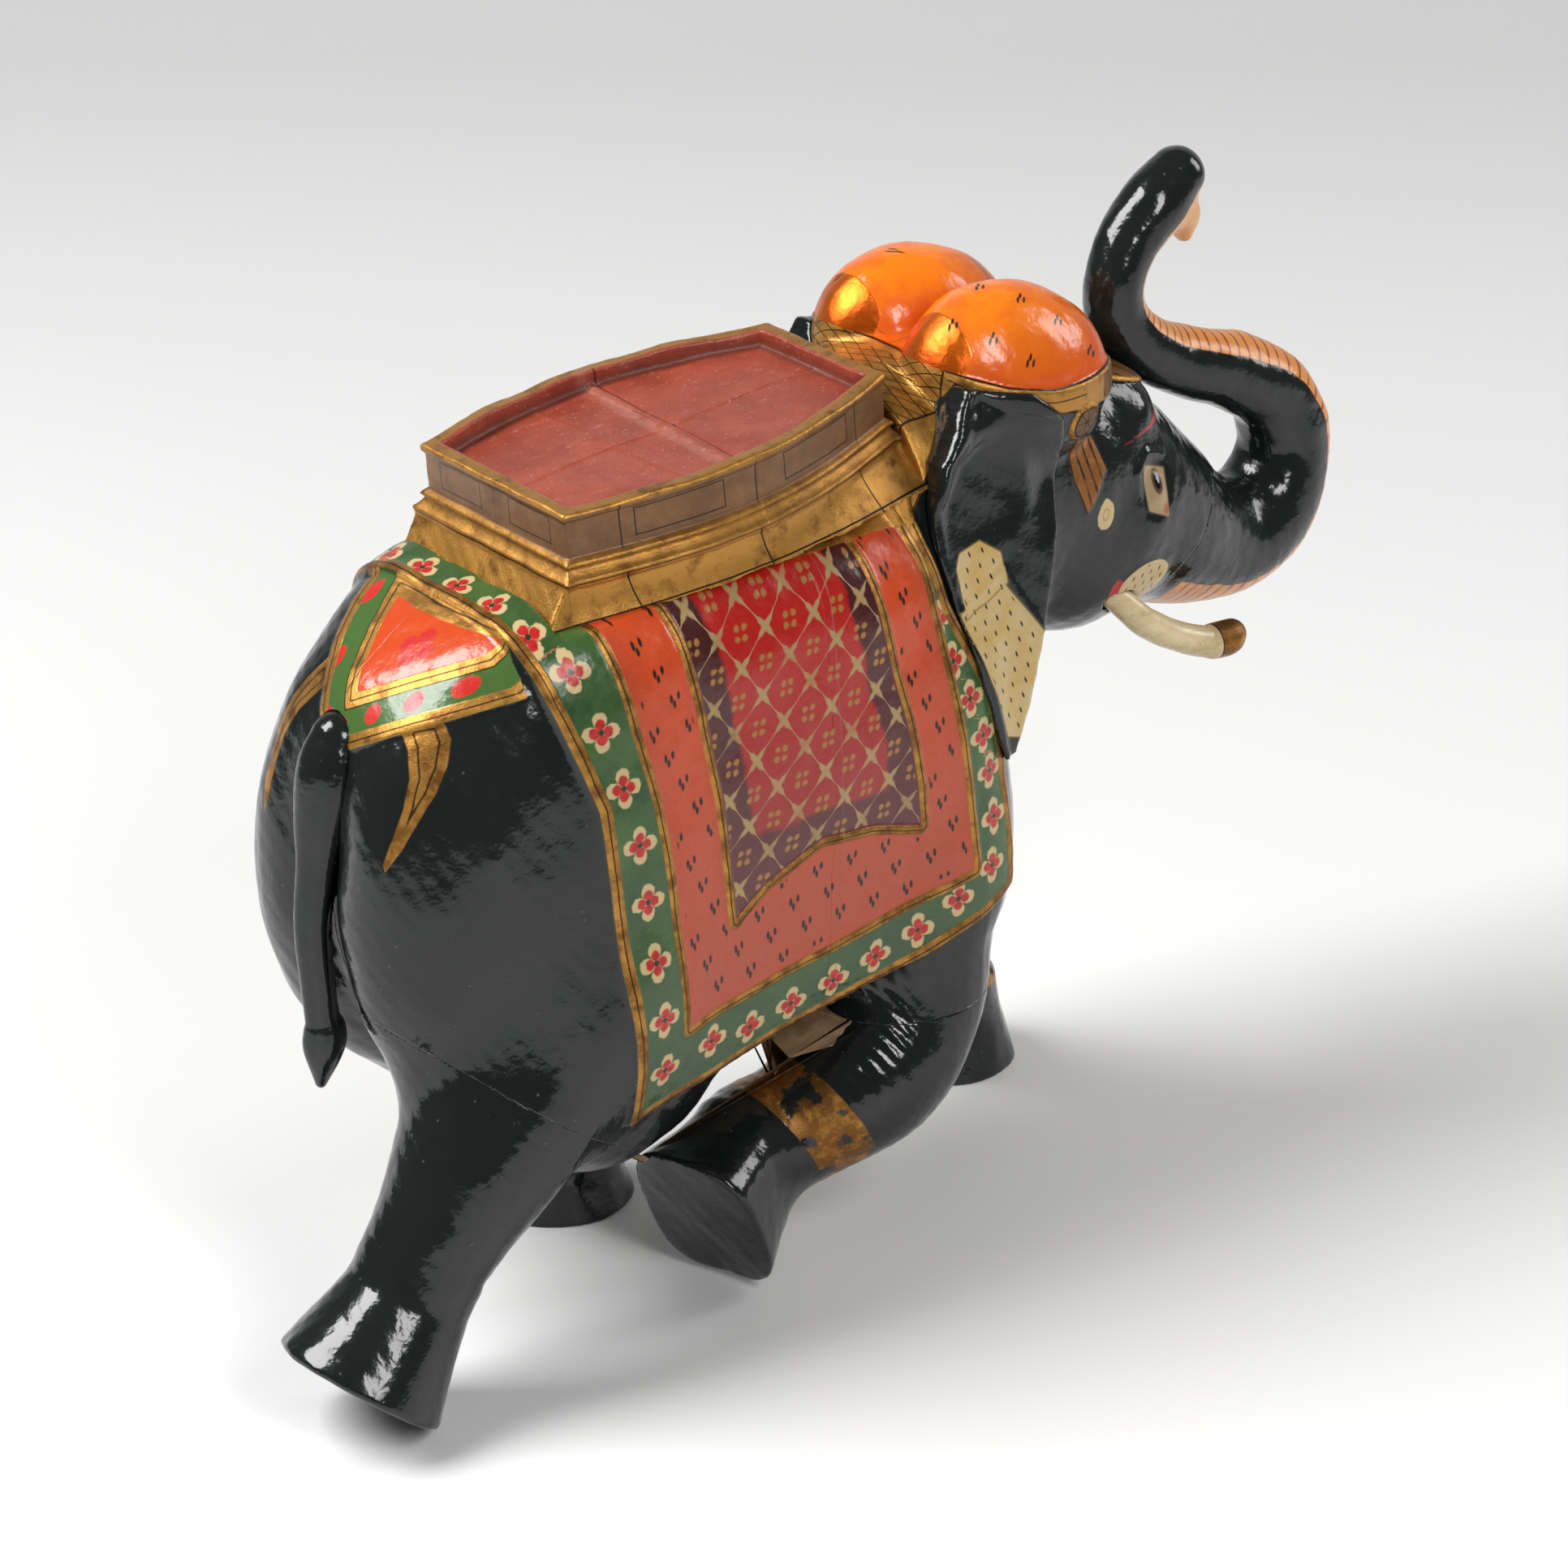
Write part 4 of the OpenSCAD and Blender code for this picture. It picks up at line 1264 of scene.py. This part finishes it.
def trunk_paint():
    paint = lacquer("trunk_paint")
    along, under = paint.mark("along"), paint.mark("under")
    wave = (paint.noise(0.15, 2) - 0.5) * 0.12
    belly = (under + wave).above(0.5, 0.03) * along.above(30)
    colour = paint.mix_colour(along.above(190, 20), (0.72, 0.27, 0.05), (0.66, 0.33, 0.13))
    paint.over(belly, colour, 0.28)
    stripe = (along + (paint.noise(0.2, 2) - 0.5) * 1.5).around(4.3).abs()
    paint.over(stripe.below(0.42, 0.2) * belly * along.below(206), (0.28, 0.03, 0.01))
    paint.over((under + wave).within(0.46, 0.52, 0.01) * along.above(30), INK)
    nostril = length(paint.x - 156, paint.z - 297)
    paint.over(nostril.below(4.6, 0.4) * paint.y.abs().below(4.5, 0.4) * under.above(0.3, 0.1), (0.30, 0.05, 0.02), 0.4)
    return paint.finish()


def ear_paint():
    paint = lacquer("ear_paint")
    cream, lobe = paint.mark("cream"), paint.mark("lobe")
    colour = paint.mix_colour(paint.noise(0.12, 4).above(0.5, 0.15), CREAM, (0.50, 0.33, 0.10))
    paint.over(cream.above(0), colour, paint.noise(0.4, 3) * 0.2 + 0.18)
    ticks(paint, paint.x + paint.z * 0.3, paint.z, cream.above(1.0), 5.4, 4.4)
    paint.over(cream.within(-0.3, 0.2), (0.12, 0.08, 0.02))
    paint.over(lobe.abs().below(0.25) * cream.above(1.2), (0.25, 0.15, 0.05))
    return paint.finish()


def leg_paint():
    paint = lacquer("leg_paint")
    front_right = paint.y.below(0) * paint.x.above(-60)
    along = (paint.x + 26) * 0.87 + (paint.z - 45) * 0.48
    rear = paint.x.below(-60) + paint.y.above(0) * paint.x.below(0)
    front_left = paint.y.above(0) * paint.x.above(30)
    band = along.within(-9, 8) * front_right * paint.y.below(-16, 4)
    band = band.max((paint.z - 36).within(-5, 5) * front_left).max((paint.z - 40).within(-5, 5)
                                                                   * paint.y.above(0) * paint.x.below(0))
    worn = paint.noise(0.11, 3).above(0.44, 0.03)
    gold_over(paint, band * worn, worn=0.8)
    patch = inner_patch(paint)
    gold_over(paint, patch * worn, worn=0.9)
    return paint.finish()


def inner_patch(paint):
    """Worn gold on the inner side of the far thigh."""
    return paint.x.below(-150) * paint.y.above(6) * (paint.z - 104).within(-16, 10, 2.0)


def tail_paint():
    paint = lacquer("tail_paint")
    return paint.finish()


def tusk_paint():
    paint = Paint("tusk_paint", (0.66, 0.53, 0.31), 0.28)
    streaks = paint.noise(0.14, 5, 0.65, stretch=(0.4, 1, 1))
    paint.colour = paint.mix_colour((streaks - 0.45) * 3, (0.66, 0.53, 0.31), (0.44, 0.31, 0.14))
    paint.over(paint.noise(0.6, 4, 0.7).above(0.64, 0.05) * 0.6, (0.25, 0.16, 0.08))
    paint.rough = paint.noise(0.5, 3) * 0.25 + 0.15
    gold_over(paint, paint.x.above(143.6), worn=0.8)
    paint.over(paint.x.within(143.3, 143.8, 0.15), INK)
    return paint.finish()


def howdah_paint():
    """Worn gold walls and skirt with ink lines, and a scuffed red-brown tray with painted shade along its inner
    corners.
    """
    paint = Paint("howdah_paint", GOLD, 0.3, 0.7)
    x, y, z = paint.mark_vector("place")
    wall = paint.mark("wall")
    everywhere = z.above(-50)
    gold_over(paint, everywhere, worn=0.3)
    side = y.abs()
    upright = wall.within(-2.4, 1.2, 0.1) * z.within(SKIRT_H + 6.4, RIM_Z - 1.3, 0.3)
    grime = paint.noise(0.10, 5, 0.7)
    dull = paint.mix_colour(grime.above(0.5, 0.15), (0.20, 0.10, 0.045), (0.11, 0.05, 0.028))
    paint.over(upright * 0.88, dull, 0.34, 0.35)
    low_wall = z.within(SKIRT_H - 0.5, SKIRT_H + 6.4, 0.3) * wall.below(1.0)
    paint.over(low_wall * grime.above(0.48, 0.12) * 0.6, GOLD_DARK, 0.35)
    end_x = (x - 61).abs().above(60.4, 0.4)
    box_u = (x - 61).abs() - 26
    frame_box = (box_u.abs() - 14.5).max((z - 26.2).abs() - 4.2)
    paint.over(frame_box.abs().below(0.2, 0.1) * upright * (-end_x + 1), INK)
    split = (x - 61).abs().below(0.25, 0.1) * upright
    outer_box = ((x - 61).abs() - 45).abs().below(0.22, 0.1) * upright * (-end_x + 1)
    paint.over(split.max(outer_box), INK)
    rear_box = ((side - 17).abs() - 10).max((z - 26.2).abs() - 4.2)
    paint.over(rear_box.abs().below(0.2, 0.1) * upright * end_x, INK)
    base = z.within(SKIRT_H - 0.25, SKIRT_H + 0.15, 0.1) * wall.below(0)
    hem = z.within(1.0, 1.5, 0.1) * wall.below(0)
    slant = (x + z * 0.25).around(44, 62).abs().below(0.25, 0.12) * z.below(SKIRT_H) * wall.below(-1) * (-end_x + 1)
    corner_r = (-x + 35 - side).abs().below(0.0)
    paint.over(base.max(hem).max(slant).max(corner_r), INK)
    tray = wall.above(RIM_T - 1.1, 0.35) * z.above(TRAY_Z - 3)
    floor = paint.mix_colour(paint.noise(0.07, 4, 0.6).above(0.5, 0.2), (0.33, 0.06, 0.03), (0.22, 0.035, 0.018))
    paint.over(tray, floor, paint.noise(0.25, 5, 0.7) * 0.35 + 0.12, 0.0)
    scratches = paint.noise(0.35, 6, 0.8, stretch=(0.5, 1.4, 1)).above(0.62, 0.04)
    paint.over(scratches * tray * 0.5, (0.42, 0.20, 0.15), 0.5)
    dust_and_floor_reflection = paint.specks(0.45, 0.09) * tray
    paint.over(dust_and_floor_reflection * 0.7, (0.55, 0.42, 0.36), 0.6)
    ridge = (x - y * 0.03 - TRAY_JOINT).within(-4.0, -0.5, 1.0) * tray * paint.noise(0.3, 4).above(0.42, 0.1)
    paint.over(ridge * 0.2, (0.50, 0.30, 0.24), 0.45)
    paint.over((x - y * 0.03 - TRAY_JOINT - 2.2).abs().below(0.35, 0.3) * tray, (0.05, 0.01, 0.006))
    # Painted shade: the tray floor is darkened along the foot of its walls.
    painted_corner_shade = wall.within(RIM_T - 0.6, RIM_T + 2.2, 1.0) * z.below(TRAY_Z + 2.5, 1.0) * tray
    paint.over(painted_corner_shade * 0.6, (0.06, 0.014, 0.008), 0.45)
    chips = paint.noise(0.35, 5, 0.75).above(0.64, 0.03) * z.above(RIM_Z - 2.2, 0.5)
    paint.over(chips, (0.24, 0.04, 0.02), 0.35, 0.0)
    return paint.finish()


def wood_paint():
    paint = Paint("bare_wood", (0.52, 0.34, 0.19), 0.6)
    rings = (paint.noise(0.05, 2) * 40).sin() * 0.5 + 0.5
    paint.colour = paint.mix_colour(rings, (0.52, 0.34, 0.19), (0.38, 0.23, 0.12))
    paint.over(paint.noise(0.8, 5, 0.7, stretch=(0.15, 1, 1)).above(0.6, 0.06) * 0.5, (0.25, 0.14, 0.07))
    paint.rough = paint.noise(0.6, 3) * 0.2 + 0.5
    return paint.finish()


# ---- the figure ----

def build_figure():
    wood = wood_paint()
    field, base = carving()
    points, blocks = saw_body(*field.mesh())
    torso, head, leg = torso_paint(), head_paint(), leg_paint()
    looks = {"torso": (torso, torso_marks, "painted_cloth"),
             "head": (head, head_marks, "turban_orange"),
             "leg": (leg, None, "black_lacquer"),
             "trunk": (trunk_paint(), trunk_marks, "black_lacquer")}
    for name, (faces, flat) in blocks.items():
        material, marks, slot = looks[name.split("_")[0]]
        make_piece("carved_" + name, points, faces, flat, name, slot, [material, wood], marks)
    right_ear, right_tusk = ear_piece(base), mirrored(tusk_piece())
    ear, tusk = ear_paint(), tusk_paint()
    for side, ear_mesh, tusk_mesh in (("right", right_ear, right_tusk),
                                      ("left", mirrored(right_ear), mirrored(right_tusk))):
        plain = np.zeros(len(ear_mesh[1]), bool)
        make_piece("carved_ear_" + side, *ear_mesh, plain, "ear_" + side, "black_lacquer", [ear], ear_marks)
        plain = np.zeros(len(tusk_mesh[1]), bool)
        make_piece("carved_tusk_" + side, *tusk_mesh, plain, "tusk_" + side, "ivory_paint", [tusk])
    tail = tail_piece()
    make_piece("carved_tail", *tail, np.zeros(len(tail[1]), bool), "tail", "black_lacquer", [tail_paint()])
    points, blocks = saw_howdah(*howdah_field().mesh())
    points = from_howdah(points)
    gold = howdah_paint()
    for name, (faces, flat) in blocks.items():
        make_piece("carved_" + name, points, faces, flat, name, "gold_paint", [gold, wood], howdah_marks)
    for node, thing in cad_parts.items():
        if node.endswith(("dowel", "dowels")):
            for slot in thing.material_slots:
                slot.material = wood


# ---- studio ----

def make_floor():
    """A white sweep that runs level under the figure and curves up far behind it."""
    profile = [(-1.5, 0.0), (1.2, 0.0)]
    profile += [(1.2 + 0.9 * math.sin(a), 0.9 - 0.9 * math.cos(a)) for a in np.linspace(0.1, math.pi / 2, 12)]
    profile.append((2.1, 2.4))
    view = math.radians(52)
    ahead = (math.cos(view), math.sin(view))
    verts, faces = [], []
    for u, z in profile:
        for w in (-2.6, 2.6):
            verts.append((u * ahead[0] - w * ahead[1], u * ahead[1] + w * ahead[0], z))
    for i in range(len(profile) - 1):
        faces.append((2 * i, 2 * i + 1, 2 * i + 3, 2 * i + 2))
    mesh = bpy.data.meshes.new("floor")
    mesh.from_pydata(verts, [], faces)
    mesh.update()
    for face in mesh.polygons:
        face.use_smooth = True
    floor = bpy.data.objects.new("floor", mesh)
    bpy.context.scene.collection.objects.link(floor)
    paint = Paint("floor_paint", (0.80, 0.80, 0.795), 0.55)
    paint.height = paint.noise(0.02, 2) * 0.02
    mesh.materials.append(paint.finish(bump_strength=0.1))


def area_light(name, place, aim, size, power, colour=(1, 1, 1)):
    data = bpy.data.lights.new(name, "AREA")
    data.shape = "RECTANGLE"
    data.size, data.size_y = size
    data.energy = power
    data.color = colour
    light = bpy.data.objects.new(name, data)
    light.location = place
    light.rotation_euler = (Vector(aim) - Vector(place)).to_track_quat("-Z", "Y").to_euler()
    bpy.context.scene.collection.objects.link(light)


def make_studio():
    make_floor()
    area_light("key", (-1.0, 0.5, 1.5), (0, 0, 0.1), (0.9, 0.9), 40)
    area_light("front", (-0.2, -1.7, 1.3), (0, 0, 0.15), (0.5, 1.0), 20)
    area_light("right", (1.5, -0.5, 0.9), (0, 0, 0.15), (0.5, 0.9), 9)
    world = bpy.data.worlds.new("studio")
    world.use_nodes = True
    back = world.node_tree.nodes["Background"]
    back.inputs[0].default_value = (1.0, 1.0, 1.0, 1)
    back.inputs[1].default_value = 0.12
    bpy.context.scene.world = world
    bpy.context.scene.view_settings.view_transform = "Standard"


def make_camera():
    data = bpy.data.cameras.new("camera")
    data.lens = 121.1
    data.sensor_width = 36
    data.clip_end = 50
    camera = bpy.data.objects.new("camera", data)
    camera.location = (-0.9127, -1.1605, 0.8278)
    aim = Vector((-0.006, 0, 0.141)) - camera.location
    camera.rotation_euler = aim.to_track_quat("-Z", "Y").to_euler()
    bpy.context.scene.collection.objects.link(camera)
    bpy.context.scene.camera = camera


build_figure()
make_studio()
make_camera()
bpy.context.view_layer.update()
